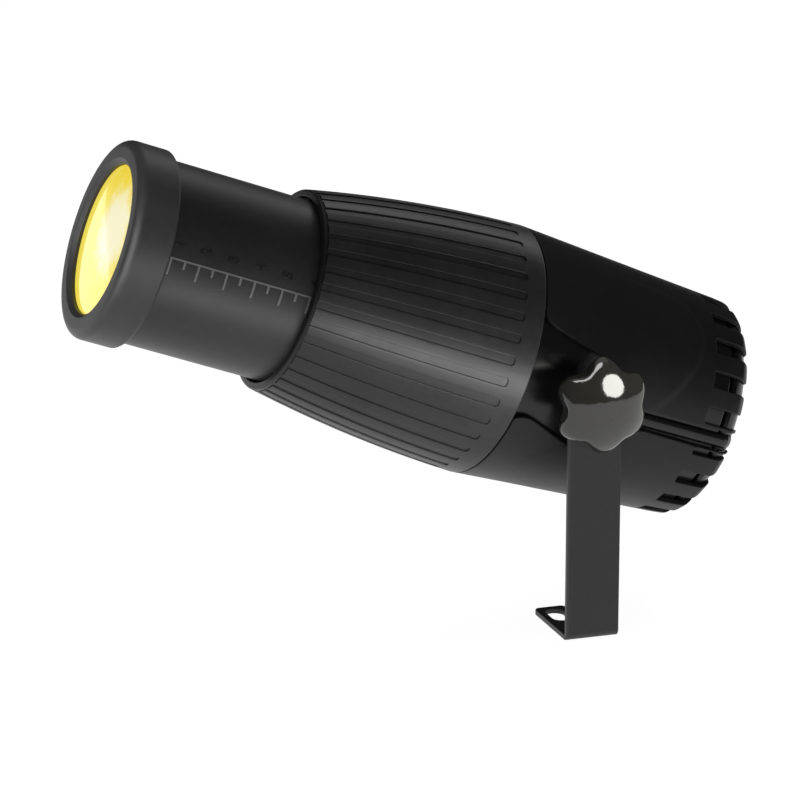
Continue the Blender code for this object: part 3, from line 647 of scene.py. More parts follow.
@dataclass
class LensSlide(SubAssembly):
    """The sliding lens tube with its scale, bezel and front lens."""

    tube_radius: float = 40.0
    tube_bore: float = 37.8
    tube_front: float = 204.0
    tube_rear: float = 98.0
    bezel_radius: float = 43.3
    bezel_front: float = 213.1
    bezel_rear: float = 194.5
    opening_radius: float = 32.7
    lens_radius: float = 37.4
    dome_start: float = 210.0
    dome_radius: float = 32.4
    dome_rise: float = 1.6
    scale_angle: float = -9.2
    scale_first: float = 193.4
    scale_pitch: float = 12.7
    scale_marks: int = 6
    mark_width: float = 1.0
    mark_length: float = 7.6
    half_mark_length: float = 4.0
    mark_height: float = 0.42
    numeral_height: float = 4.6
    numeral_angle: float = -17.4

    def build(self) -> None:
        """Builds every piece of the slide."""
        self.build_bezel()
        self.build_tube()
        self.build_scale()
        self.build_numerals()
        self.build_lens()
        self.build_retaining_ring()

    def build_bezel(self) -> None:
        """The front ring: a rounded outer edge, a flat face and a chamfer down to the lens."""
        seat = self.tube_radius + 0.3
        corners = [
            (self.bezel_rear, seat, 0.0),
            (self.bezel_rear, self.bezel_radius, 3.0),
            (self.bezel_front, self.bezel_radius, 4.6),
            (self.bezel_front, 34.6, 0.8),
            (211.4, self.opening_radius, 0.4),
            (208.4, 33.0, 0.4),
            (204.3, 36.4, 0.0),
            (204.3, seat, 0.0),
        ]
        mesh = turned(rounded(corners, 8), Axis.BEAM, 160)
        self.piece("front_bezel", mesh, Palette.slide, Body.SLIDE, ["lens_bezel"])

    def build_tube(self) -> None:
        """The plain drawn tube that carries the scale."""
        corners = [
            (self.tube_front, self.tube_bore, 0.3),
            (self.tube_front, self.tube_radius, 0.5),
            (self.tube_rear, self.tube_radius, 0.5),
            (self.tube_rear, self.tube_bore, 0.3),
        ]
        mesh = turned(rounded(corners, 3), Axis.BEAM, 160)
        self.piece("slide_tube", mesh, Palette.slide, Body.SLIDE, ["lens_tube"])

    def tube_surface(self, station: float, angle: float) -> float:
        """The tube's radius, the same everywhere."""
        return self.tube_radius

    def on_tube(self, millimetres: float) -> float:
        """A distance round the tube as a distance round the wrap radius."""
        return millimetres * WRAP_RADIUS / self.tube_radius

    def build_scale(self) -> None:
        """The raised focus scale: a long line with a full or half mark at every half step."""
        half = self.mark_width * 0.5
        top = around_of(self.scale_angle)
        line = top + self.on_tube(self.mark_width * 0.8)
        last = self.scale_first - self.scale_pitch * (self.scale_marks - 1)
        corners: list[Corner] = [(last - half, top, 0.25), (self.scale_first + half, top, 0.25)]
        for mark in range(2 * self.scale_marks - 1):
            centre = self.scale_first - mark * self.scale_pitch * 0.5
            length = self.half_mark_length if mark % 2 else self.mark_length
            end = top + self.on_tube(length)
            if mark:
                corners.append((centre + half, line, 0.2))
            corners.append((centre + half, end, 0.45))
            corners.append((centre - half, end, 0.45))
            if mark < 2 * self.scale_marks - 2:
                corners.append((centre - half, line, 0.2))
        mesh = plate(rounded(corners, 3), self.mark_height + 0.4, 0.16, segments=2)
        sliced(mesh, 1, spread(top, top + self.on_tube(self.mark_length), 1.2))
        bmesh.ops.translate(mesh, verts=mesh.verts, vec=(0.0, 0.0, self.mark_height))
        wrapped(mesh, self.tube_surface)
        # The scale's light grey finish is a painted highlight along the marks
        self.piece("focus_scale", mesh, Palette.relief, Body.SLIDE)

    def build_numerals(self) -> None:
        """The raised numerals 1 to 6, which read up the tube."""
        mesh = bmesh.new()
        for index in range(self.scale_marks):
            station = self.scale_first - 1.6 - index * (self.scale_pitch - 0.25)
            curve = bpy.data.curves.new("numeral", "FONT")
            curve.body = str(index + 1)
            curve.size = self.numeral_height * 1.42
            curve.align_x = "CENTER"
            curve.extrude = 0.35
            curve.bevel_depth = 0.12
            curve.bevel_resolution = 2
            curve.resolution_u = 4
            text = shown("numeral", curve)
            graph = bpy.context.evaluated_depsgraph_get()
            graph.update()
            data = bpy.data.meshes.new_from_object(text.evaluated_get(graph))
            numeral = bmesh.new()
            numeral.from_mesh(data)
            bmesh.ops.remove_doubles(numeral, verts=numeral.verts, dist=JOIN_DISTANCE)
            around = around_of(self.numeral_angle)
            for vert in numeral.verts:
                across, along, height = vert.co
                spot = (station + along - self.numeral_height * 0.5, around - self.on_tube(across))
                vert.co = (*spot, height)
            wrapped(numeral, self.tube_surface)
            numeral.to_mesh(data)
            mesh.from_mesh(data)
            numeral.free()
            bpy.data.objects.remove(text)
            bpy.data.curves.remove(curve)
            bpy.data.meshes.remove(data)
        self.piece("scale_numerals", mesh, Palette.slide, Body.SLIDE)

    def build_lens(self) -> None:
        """The domed front lens, lit from behind."""
        corners = [(196.0, 0.0), (196.0, self.lens_radius - 0.3), (196.3, self.lens_radius)]
        corners += [(201.5, self.lens_radius), (204.0, 36.0), (self.dome_start, self.dome_radius)]
        steps = 24
        for step in range(1, steps + 1):
            turn = 0.5 * math.pi * step / steps
            along = self.dome_start + self.dome_rise * math.sin(turn) ** 1.4
            corners.append((along, self.dome_radius * math.cos(turn)))
        glow = GlowFinish(
            "lens_glass",
            tuple(self.lamp.point(211.0, -11.0, 7.0)),
            tuple(self.lamp.up),
        )
        mesh = turned(corners, Axis.BEAM, 96, closed=False)
        self.piece("front_lens", mesh, glow, Body.SLIDE, ["objective_lens"])

    def build_retaining_ring(self) -> None:
        """The thin ring that holds the lens from behind."""
        corners = [(195.7, 34.0, 0.3), (195.7, 37.5, 0.3), (192.2, 37.5, 0.3), (192.2, 34.0, 0.3)]
        mesh = turned(rounded(corners, 3), Axis.BEAM, 96)
        self.piece("lens_ring", mesh, Palette.aluminium, Body.SLIDE, ["lens_retaining_ring"])


# ---------------------------------------------------------------- ribbed barrel


@dataclass
class RibbedBarrel(SubAssembly):
    """The curved front barrel with long sunk channels, and the lip ring at its mouth."""

    front: float = 127.7
    rear: float = 29.8
    span: float = 99.2
    channels: int = 36
    channel_first: float = -4.0
    channel_degrees: float = 4.0
    channel_depth: float = 0.55
    channel_rear: float = 38.8
    channel_corner: float = 1.3
    channel_rim: float = 0.22
    rear_radius: float = 56.0
    taper: float = 3.4
    bow: float = 8.2
    rim: float = 0.8
    lip_radius: float = 44.5
    lip_front: float = 129.8
    lip_rear: float = 128.0
    lip_bore: float = 40.8

    def build(self) -> None:
        """Builds the barrel, its lip and the slide ring inside it."""
        self.build_barrel()
        self.build_lip()
        self.build_slide_ring()

    def surface(self, station: float, angle: float) -> float:
        """The barrel's radius: a shallow curve that turns in at the rear rim."""
        share = (station - self.rear) / self.span
        radius = self.rear_radius - self.taper * share - self.bow * share * share
        inside = max(0.0, self.rear + self.rim - station)
        return radius - self.rim + math.sqrt(max(0.0, self.rim**2 - inside**2))

    def sector(self) -> bmesh.types.BMesh:
        """One channel's strip: the land, the channel's walls and its floor, all flat."""
        half = around_of(180.0 / self.channels)
        side = around_of(self.channel_degrees * 0.5)
        corner = self.channel_corner
        mesh = bmesh.new()
        pocket = [
            (self.front, -side, 0.0),
            (self.channel_rear, -side, corner),
            (self.channel_rear, side, corner),
            (self.front, side, 0.0),
        ]
        inner = [mesh.verts.new((*spot, 0.0)) for spot in rounded(pocket, 5)]
        outer = [(self.front, half), (self.rear, half), (self.rear, -half), (self.front, -half)]
        mesh.faces.new(inner + [mesh.verts.new((*spot, 0.0)) for spot in outer])
        floor = mesh.faces.new(inner)
        swept = bmesh.ops.extrude_face_region(mesh, geom=[floor])
        low = [item for item in swept["geom"] if isinstance(item, bmesh.types.BMVert)]
        bmesh.ops.translate(mesh, verts=low, vec=(0.0, 0.0, -self.channel_depth))
        bmesh.ops.delete(mesh, geom=[floor], context="FACES_ONLY")
        mouth = [face for face in mesh.faces if all(abs(v.co.x - self.front) < 1e-5 for v in face.verts)]
        bmesh.ops.delete(mesh, geom=mouth, context="FACES_ONLY")
        bmesh.ops.recalc_face_normals(mesh, faces=mesh.faces)
        softened(mesh, [edge for edge in mesh.edges if is_rim(edge)], self.channel_rim, 2)
        return mesh

    def build_barrel(self) -> None:
        """Repeats the strip round the beam and closes the barrel with its bore."""
        mesh = self.sector()
        side = around_of(self.channel_degrees * 0.5)
        sliced(mesh, 0, spread(self.rear, self.front, 4.0))
        sliced(mesh, 0, [self.rear + self.rim * share for share in (0.08, 0.3, 0.6, 1.0)])
        sliced(mesh, 1, [-side * 0.5, 0.0, side * 0.5, -side * 1.7, side * 1.7])
        wrapped(mesh, self.surface)
        bmesh.ops.rotate(
            mesh,
            verts=mesh.verts,
            cent=(0.0, 0.0, 0.0),
            matrix=Matrix.Rotation(math.radians(-self.channel_first), 3, "X"),
        )
        bmesh.ops.spin(
            mesh,
            geom=mesh.verts[:] + mesh.edges[:] + mesh.faces[:],
            cent=(0.0, 0.0, 0.0),
            axis=(1.0, 0.0, 0.0),
            angle=2.0 * math.pi * (self.channels - 1) / self.channels,
            steps=self.channels - 1,
            use_duplicate=True,
        )
        bmesh.ops.remove_doubles(mesh, verts=mesh.verts, dist=0.02)
        self.close_bore(mesh)
        self.piece("grip_barrel", mesh, Palette.barrel, Body.LAMP, ["ribbed_barrel"], sharp=40.0)

    def close_bore(self, mesh: bmesh.types.BMesh) -> None:
        """Draws the rear rim inwards and forwards, and bridges it to the front rim."""
        loop = [edge for edge in mesh.edges if edge.is_boundary]
        rear = [edge for edge in loop if all(v.co.x > -self.rear - 1.0 for v in edge.verts)]
        front = [edge for edge in loop if edge not in set(rear)]
        for station, bore in ((self.rear, 53.6), (70.0, 50.4), (106.0, 43.0), (124.6, 42.8), (124.8, 41.2)):
            swept = bmesh.ops.extrude_edge_only(mesh, edges=rear)["geom"]
            for vert in (item for item in swept if isinstance(item, bmesh.types.BMVert)):
                arm = Vector((0.0, vert.co.y, vert.co.z)).normalized() * bore
                vert.co = (-station, arm.y, arm.z)
            rear = [item for item in swept if isinstance(item, bmesh.types.BMEdge)]
            rear = [edge for edge in rear if edge.is_boundary]
        bmesh.ops.bridge_loops(mesh, edges=rear + front)

    def build_lip(self) -> None:
        """The rounded lip ring where the tube slides in."""
        corners = [
            (self.lip_rear, self.lip_bore, 0.1),
            (self.lip_rear, self.lip_radius, 0.15),
            (self.lip_front - 0.2, self.lip_radius - 0.2, 1.3),
            (self.lip_front, 41.3, 0.5),
            (self.lip_front - 0.8, self.lip_bore, 0.3),
        ]
        mesh = turned(rounded(corners, 6), Axis.BEAM, 160)
        self.piece("barrel_lip", mesh, Palette.barrel, Body.LAMP, ["barrel_lip_ring"])

    def build_slide_ring(self) -> None:
        """The felt ring that guides the tube."""
        corners = [(124.4, 40.9, 0.5), (124.4, 42.5, 0.3), (108.0, 42.5, 0.3), (108.0, 40.9, 0.5)]
        mesh = turned(rounded(corners, 3), Axis.BEAM, 96)
        self.piece("felt_ring", mesh, Palette.felt, Body.LAMP, ["felt_slide_ring"])


# ---------------------------------------------------------------- rear housing

UPPER_EDGE = [
    (29.3, 30.0), (28.9, 28.8), (27.2, 26.6), (24.5, 24.9), (21.5, 23.7), (-2.0, 17.6),
    (-10.0, 14.6), (-17.0, 10.2), (-22.5, 5.0), (-26.0, 1.6), (-30.0, 0.6),
]
LOWER_EDGE = [
    (29.3, -18.6), (28.6, -17.6), (25.7, -16.4), (22.3, -16.3), (18.2, -17.4), (0.0, -23.9),
    (-6.0, -24.4), (-12.0, -22.3), (-18.0, -17.5), (-23.0, -12.4), (-27.0, -9.2), (-31.0, -8.3),
]
UPPER_CREASE = [
    (-31.5, 1.0), (-34.9, 4.5), (-38.5, 8.9), (-42.3, 13.7), (-45.1, 19.0), (-48.0, 22.9),
    (-50.4, 29.0), (-51.3, 33.1), (-50.6, 37.8), (-48.7, 42.0), (-45.6, 45.1), (-41.2, 46.9),
    (-35.3, 47.8), (-28.8, 48.6), (-20.8, 48.9),
]
LOWER_CREASE = [
    (0.6, -24.6), (5.9, -28.3), (9.2, -30.9), (12.2, -34.7), (13.5, -38.9), (12.7, -43.5),
    (10.2, -46.6), (4.6, -49.1),
]
BLOCK_EDGE = [
    (6.3, -21.4), (8.0, -14.5), (9.6, -5.6), (9.6, 5.0), (8.2, 11.7), (4.8, 18.4), (-6.0, 18.6),
    (-16.0, 15.0), (-23.0, 7.0), (-25.5, -3.0), (-23.0, -13.0), (-14.0, -20.5), (-5.0, -23.0),
]


@dataclass
class RearHousing(SubAssembly):
    """The two rear shells with their vent notches, and the glossy core between them."""

    front: float = 29.3
    rear: float = -77.2
    wall: float = 2.2
    rear_radius: float = 49.5
    widening: float = 6.4
    taper_length: float = 100.3
    turn_start: float = -71.0
    turn_length: float = 6.2
    turn_depth: float = 5.2
    upper_notches: tuple[int, float] = (10, 90.0)
    lower_notches: tuple[int, float] = (8, 94.0)
    slot_notch: Point2 = (10.9, 14.6)
    notch_front: float = -58.2
    notch_pitch: float = 18.5
    notch_degrees: float = 8.4
    core_gap: float = 0.4
    core_wall: float = 3.0
    core_rear: float = -68.0
    slot_top: float = 0.5
    slot_bottom: float = -8.2
    rail_radius: float = 3.7
    crease_depth: float = 0.32
    crease_width: float = 1.2
    crease_fade: float = 9.0
    lower_crease_share: float = 0.6

    def build(self) -> None:
        """Builds the shells, the core and its rails."""
        self.build_shell("upper_cover", "upper_shell", UPPER_EDGE, -1.0)
        self.build_shell("lower_cover", "lower_shell", LOWER_EDGE, 1.0)
        self.build_core()
        self.build_pocket()
        self.build_rails()

    @property
    def pocket_outline(self) -> list[Point2]:
        """The pocket's mouth from the side, with its corners rounded."""
        return rounded([(-station, height, 8.0) for station, height in BLOCK_EDGE], 4)

    def straight_radius(self, station: float) -> float:
        """The straight taper that the shells follow."""
        return self.rear_radius + self.widening * (station - self.turn_start) / self.taper_length

    def plain_radius(self, station: float) -> float:
        """The shells' outer radius: a straight taper whose rear rim turns in."""
        turn = max(0.0, self.turn_start - station)
        return self.straight_radius(station) - self.turn_depth * (turn / self.turn_length) ** 2

    def core_radius(self, station: float) -> float:
        """The core's outer radius, just inside the shells."""
        return self.straight_radius(station) - self.wall - self.core_gap

    def edge_angle(self, station: float, height: float) -> float:
        """The angle round the beam of a point on the shells' side, in degrees."""
        return -math.degrees(math.asin(height / self.plain_radius(station)))

    def crease_drop(self, station: float, angle: float, crease: Sequence[Point2]) -> float:
        """How far the cheek behind a crease is sunk, faded over about a millimetre.

        Args:
            station: The place along the beam.
            angle: The place round the beam, in degrees from the near side.
            crease: The crease's points, as stations and heights.

        Returns:
            A share from 0 outside the cheek to 1 inside it.
        """
        across = angle if abs(angle) <= 90.0 else math.copysign(180.0, angle) - angle
        here = Vector((station, math.radians(across) * WRAP_RADIUS))
        best, side = 1e9, 1.0
        places = []
        for place, height in crease:
            limit = max(-0.999, min(0.999, height / self.plain_radius(place)))
            places.append(Vector((place, -math.asin(limit) * WRAP_RADIUS)))
        for start, end in zip(places, places[1:]):
            run = end - start
            share = max(0.0, min(1.0, (here - start).dot(run) / run.length_squared))
            gap = here - (start + run * share)
            if gap.length < best:
                best = gap.length
                side = 1.0 if run.x * gap.y - run.y * gap.x < 0.0 else -1.0
        step = max(0.0, min(1.0, 0.5 + side * best / self.crease_width))
        return step * step * (3.0 - 2.0 * step) * math.exp(-max(0.0, best - 1.0) / self.crease_fade)

    def upper_surface(self, station: float, angle: float) -> float:
        """The upper shell's radius, with its cheeks."""
        drop = self.crease_drop(station, angle, UPPER_CREASE)
        return self.plain_radius(station) - self.crease_depth * drop

    def lower_surface(self, station: float, angle: float) -> float:
        """The lower shell's radius, with its cheeks."""
        drop = self.crease_drop(station, angle, LOWER_CREASE)
        return self.plain_radius(station) - self.lower_crease_share * self.crease_depth * drop

    def notches(self, sign: float) -> list[Point2]:
        """The start and end angles of the vent notches from the near side to the far side."""
        count, middle = self.upper_notches if sign < 0.0 else self.lower_notches
        half = self.notch_degrees * 0.5
        centres = [middle + (index - (count - 1) * 0.5) * self.notch_pitch for index in range(count)]
        spans = [(centre - half, centre + half) for centre in centres]
        if sign > 0.0:
            spans.insert(0, self.slot_notch)
        return [(sign * start, sign * end) for start, end in spans]

    def build_shell(self, name: str, node: str, edge: Sequence[Point2], sign: float) -> None:
        """Builds one shell as a flat outline with notches, wrapped round the beam.

        Args:
            name: The piece's name.
            node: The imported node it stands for.
            edge: Its lengthwise edge on the near side, as stations and heights.
            sign: -1 for the upper shell and 1 for the lower one.
        """
        slot_height = self.slot_top if sign < 0.0 else self.slot_bottom
        near = [(station, self.edge_angle(station, height)) for station, height in edge]
        near.append((self.rear, self.edge_angle(self.rear, slot_height)))
        radii = [1.2] + [7.0] * (len(near) - 2) + [1.2]
        corners: list[Corner] = [
            (station, around_of(angle), radius) for (station, angle), radius in zip(near, radii)
        ]
        for start, end in self.notches(sign):
            low, high = around_of(start), around_of(end)
            corners += [(self.rear, low, 1.2), (self.notch_front, low, 0.7)]
            corners += [(self.notch_front, high, 0.7), (self.rear, high, 1.2)]
        corners += [
            (station, around_of(sign * 180.0 - angle), radius)
            for (station, angle), radius in zip(reversed(near), radii)
        ]
        mesh = plate(rounded(corners, 4), self.wall, 0.5)
        sliced(mesh, 0, spread(self.rear, self.turn_start, 1.0) + spread(self.turn_start, -53.0, 3.0))
        sliced(mesh, 0, spread(-53.5, 14.5, 1.1) + spread(15.5, self.front, 3.0))
        sliced(mesh, 1, spread(0.0, around_of(sign * 180.0), 1.4))
        wrapped(mesh, self.upper_surface if sign < 0.0 else self.lower_surface)
        self.piece(name, mesh, Palette.shell, Body.LAMP, [node], sharp=45.0)

    def window(self) -> bmesh.types.BMesh:
        """A prism through the near wall with the pocket's outline."""
        mesh = bmesh.new()
        mesh.faces.new([mesh.verts.new((along, -70.0, height)) for along, height in self.pocket_outline])
        swept = bmesh.ops.extrude_face_region(mesh, geom=mesh.faces[:], use_keep_orig=True)
        moved = [item for item in swept["geom"] if isinstance(item, bmesh.types.BMVert)]
        bmesh.ops.translate(mesh, verts=moved, vec=(0.0, 50.0, 0.0))
        return mesh

    def build_core(self) -> None:
        """The core tube, with a window for the pocket and a hole for the far plug."""
        rear = self.core_rear
        corners = [
            (self.front, self.core_radius(self.front), 0.4),
            (rear, self.core_radius(rear), 2.0),
            (rear, self.core_radius(rear) - self.core_wall, 0.5),
            (self.front, self.core_radius(self.front) - self.core_wall, 0.4),
        ]
        mesh = turned(rounded(corners, 5), Axis.BEAM, 180)
        mesh = cut_by(mesh, self.window())
        bore = turned([(30.0, 0.0), (30.0, 9.3), (60.0, 9.3), (60.0, 0.0)], Axis.TILT, 48, closed=False)
        mesh = cut_by(mesh, bore)
        self.piece("inner_core", mesh, Palette.core, Body.LAMP, ["core_housing"], sharp=25.0)

    def build_pocket(self) -> None:
        """The dished pocket that holds the tilt joint, with a broad bevel round its mouth."""
        mesh = bmesh.new()
        first = [mesh.verts.new((along, 0.0, height)) for along, height in self.pocket_outline]
        face = mesh.faces.new(first)
        bmesh.ops.inset_region(mesh, faces=[face], thickness=0.15)
        rings = [first, face.verts[:]]
        for step in (0.5, 0.9, 0.9, 0.5, 0.4, 0.6, 0.9):
            bmesh.ops.inset_region(mesh, faces=[face], thickness=step, use_even_offset=True)
            rings.append(face.verts[:])
        drops = [1.6, 0.0, 0.15, 0.75, 1.7, 2.6, 4.5]
        for index, ring in enumerate(rings):
            for vert in ring:
                radius = self.core_radius(-vert.co.x)
                surface = -math.sqrt(radius**2 - vert.co.z**2)
                depth = drops[index] if index < len(drops) else 0.0
                floor = -41.4 if index == len(drops) else -40.1
                vert.co.y = surface + depth if index < len(drops) else floor
        swept = bmesh.ops.extrude_edge_only(mesh, edges=[e for e in mesh.edges if e.is_boundary])["geom"]
        back = [item for item in swept if isinstance(item, bmesh.types.BMVert)]
        for vert in back:
            vert.co.y = -36.0
        bmesh.ops.holes_fill(mesh, edges=[edge for edge in mesh.edges if edge.is_boundary], sides=0)
        self.piece("joint_pocket", mesh, Palette.core, Body.LAMP, ["pivot_block"], sharp=50.0)

    def build_rails(self) -> None:
        """The rounded rail that fills the slot behind the joint, on both sides."""
        middle = (self.slot_top + self.slot_bottom) * 0.5
        mesh = bmesh.new()
        for side in (-1.0, 1.0):
            made = bmesh.ops.create_circle(mesh, cap_ends=True, segments=32, radius=self.rail_radius)
            verts = made["verts"]
            turn = Matrix.Rotation(math.radians(90.0), 3, "Y")
            bmesh.ops.rotate(mesh, verts=verts, cent=(0.0, 0.0, 0.0), matrix=turn)
            stations = [-22.0, -30.0, -40.0, -50.0, -60.0, -68.0, -71.0, -73.0, -74.8, -76.2]
            face = verts[0].link_faces[0]
            centre = Vector((0.0, 0.0, 0.0))
            for index, station in enumerate(stations):
                if index:
                    swept = bmesh.ops.extrude_face_region(mesh, geom=[face])["geom"]
                    verts = [item for item in swept if isinstance(item, bmesh.types.BMVert)]
                    face = next(item for item in swept if isinstance(item, bmesh.types.BMFace))
                reach = self.plain_radius(station) - 0.7 - self.rail_radius
                target = Vector((-station, side * reach, middle))
                bmesh.ops.translate(mesh, verts=verts, vec=target - centre)
                centre = target
            softened(mesh, face.edges[:], 0.7, 3)
        self.piece("slot_rails", mesh, Palette.core, Body.LAMP, sharp=40.0)


# ---------------------------------------------------------------- tilt joint


@dataclass
class TiltJoint(SubAssembly):
    """The hub, friction disc, stud and washer that carry the lamp, and the clamp knob."""

    stud_radius: float = 4.0
    clearance: float = 0.3
    knob_base: float = -63.5
    knob_height: float = 16.5
    knob_tip: float = 21.2
    knob_valley: float = 17.0
    knob_dome: float = 27.0
    knob_neck: float = 13.0
    knob_edge: float = 1.8
    knob_lobes: int = 6
    knob_segments: int = 144

    def build(self) -> None:
        """Builds the joint from the pocket outwards."""
        bore = self.stud_radius + self.clearance
        self.ring("joint_hub", "pivot_hub", Palette.aluminium, Body.LAMP, [
            (-40.3, bore, 0.2), (-40.3, 5.9, 0.3), (-52.8, 5.9, 0.8), (-52.8, 11.0, 0.6),
            (-57.0, 11.0, 0.4), (-57.0, bore, 0.2),
        ])
        self.ring("joint_disc", "friction_disc", Palette.friction, Body.LAMP, [
            (-57.3, bore, 0.2), (-57.3, 11.0, 0.3), (-58.6, 11.0, 0.3), (-58.6, bore, 0.2),
        ])
        self.ring("joint_washer", "clamp_washer", Palette.zinc, Body.BRACKET, [
            (-61.7, bore, 0.2), (-61.7, 11.5, 0.35), (-63.2, 11.5, 0.35), (-63.2, bore, 0.2),
        ])
        self.build_stud()
        self.build_knob()

    def ring(
        self, name: str, node: str, finish: Finish, body: Body, corners: Sequence[Corner]
    ) -> None:
        """Builds one turned ring on the tilt axis."""
        mesh = turned(rounded(corners, 4), Axis.TILT, 72)
        self.piece(name, mesh, finish, body, [node])

    def build_stud(self) -> None:
        """The clamp stud with its head inside the pocket floor."""
        profile = [(-30.7, 0.0), (-30.7, 6.6), (-31.1, 7.0), (-35.7, 7.0), (-35.7, 4.0)]
        profile += [(-71.6, 4.0), (-72.2, 3.4), (-72.2, 0.0)]
        mesh = turned(profile, Axis.TILT, 48, closed=False)
        self.piece("joint_stud", mesh, Palette.zinc, Body.LAMP, ["clamp_stud"])

    def lobe(self, angle: float) -> float:
        """The radius of the knob's rim at an angle."""
        wave = 0.5 + 0.5 * math.cos((angle - math.radians(30.0)) * self.knob_lobes)
        return self.knob_valley + (self.knob_tip - self.knob_valley) * wave

    def dome_depth(self, radius: float) -> float:
        """The depth of the knob's round face at a distance from its axis."""
        return self.knob_height - self.knob_dome + math.sqrt(self.knob_dome**2 - radius**2)

    def knob_section(self, outer: float) -> list[Point2]:
        """The knob's outline, from its seat to its middle, where its rim is at one radius.

        Args:
            outer: The radius of the lobed rim at this angle.

        Returns:
            Points as (radius, depth), always the same number of them.
        """
        edge = self.dome_depth(outer)
        inside = outer - 1.5 * self.knob_edge
        first, last = (outer, edge - self.knob_edge), (inside, self.dome_depth(inside))
        section = [(self.knob_neck - 1.0, 0.0), (self.knob_neck, 0.0), (self.knob_neck, 2.0)]
        section += [(outer - 1.6, 2.3), (outer - 0.5, 2.7), (outer, 3.6)]
        for step in range(7):
            share = step / 6.0
            rest = 1.0 - share
            radius = rest**2 * first[0] + 2.0 * rest * share * outer + share**2 * last[0]
            depth = rest**2 * first[1] + 2.0 * rest * share * edge + share**2 * last[1]
            section.append((radius, depth))
        for share in (0.9, 0.8, 0.7, 0.6, 0.5, 0.4, 0.3, 0.2, 0.1):
            section.append((inside * share, self.dome_depth(inside * share)))
        return section

    def build_knob(self) -> None:
        """The lobed clamp knob: a lobed skirt under one round dome."""
        mesh = bmesh.new()
        made = bmesh.ops.create_circle(mesh, cap_ends=True, segments=self.knob_segments, radius=1.0)
        face = made["verts"][0].link_faces[0]
        angles = [math.atan2(vert.co.y, vert.co.x) for vert in face.verts]
        sections = [self.knob_section(self.lobe(angle)) for angle in angles]
        for index in range(len(sections[0])):
            if index:
                swept = bmesh.ops.extrude_face_region(mesh, geom=[face])["geom"]
                face = next(item for item in swept if isinstance(item, bmesh.types.BMFace))
            for vert, angle, section in zip(face.verts, angles, sections):
                radius, depth = section[index]
                across = math.cos(angle) * radius
                vert.co = (across, self.knob_base - depth, math.sin(angle) * radius)
        tool = turned(
            [(-55.0, 0.0), (-55.0, 4.3), (self.knob_base - 11.0, 4.3), (self.knob_base - 11.0, 0.0)],
            Axis.TILT, 40, closed=False,
        )
        mesh = cut_by(mesh, tool)
        self.piece("clamp_knob", mesh, Palette.knob, Body.KNOB, ["tilt_knob"], self.lamp.upright, 50.0)


# ---------------------------------------------------------------- bracket


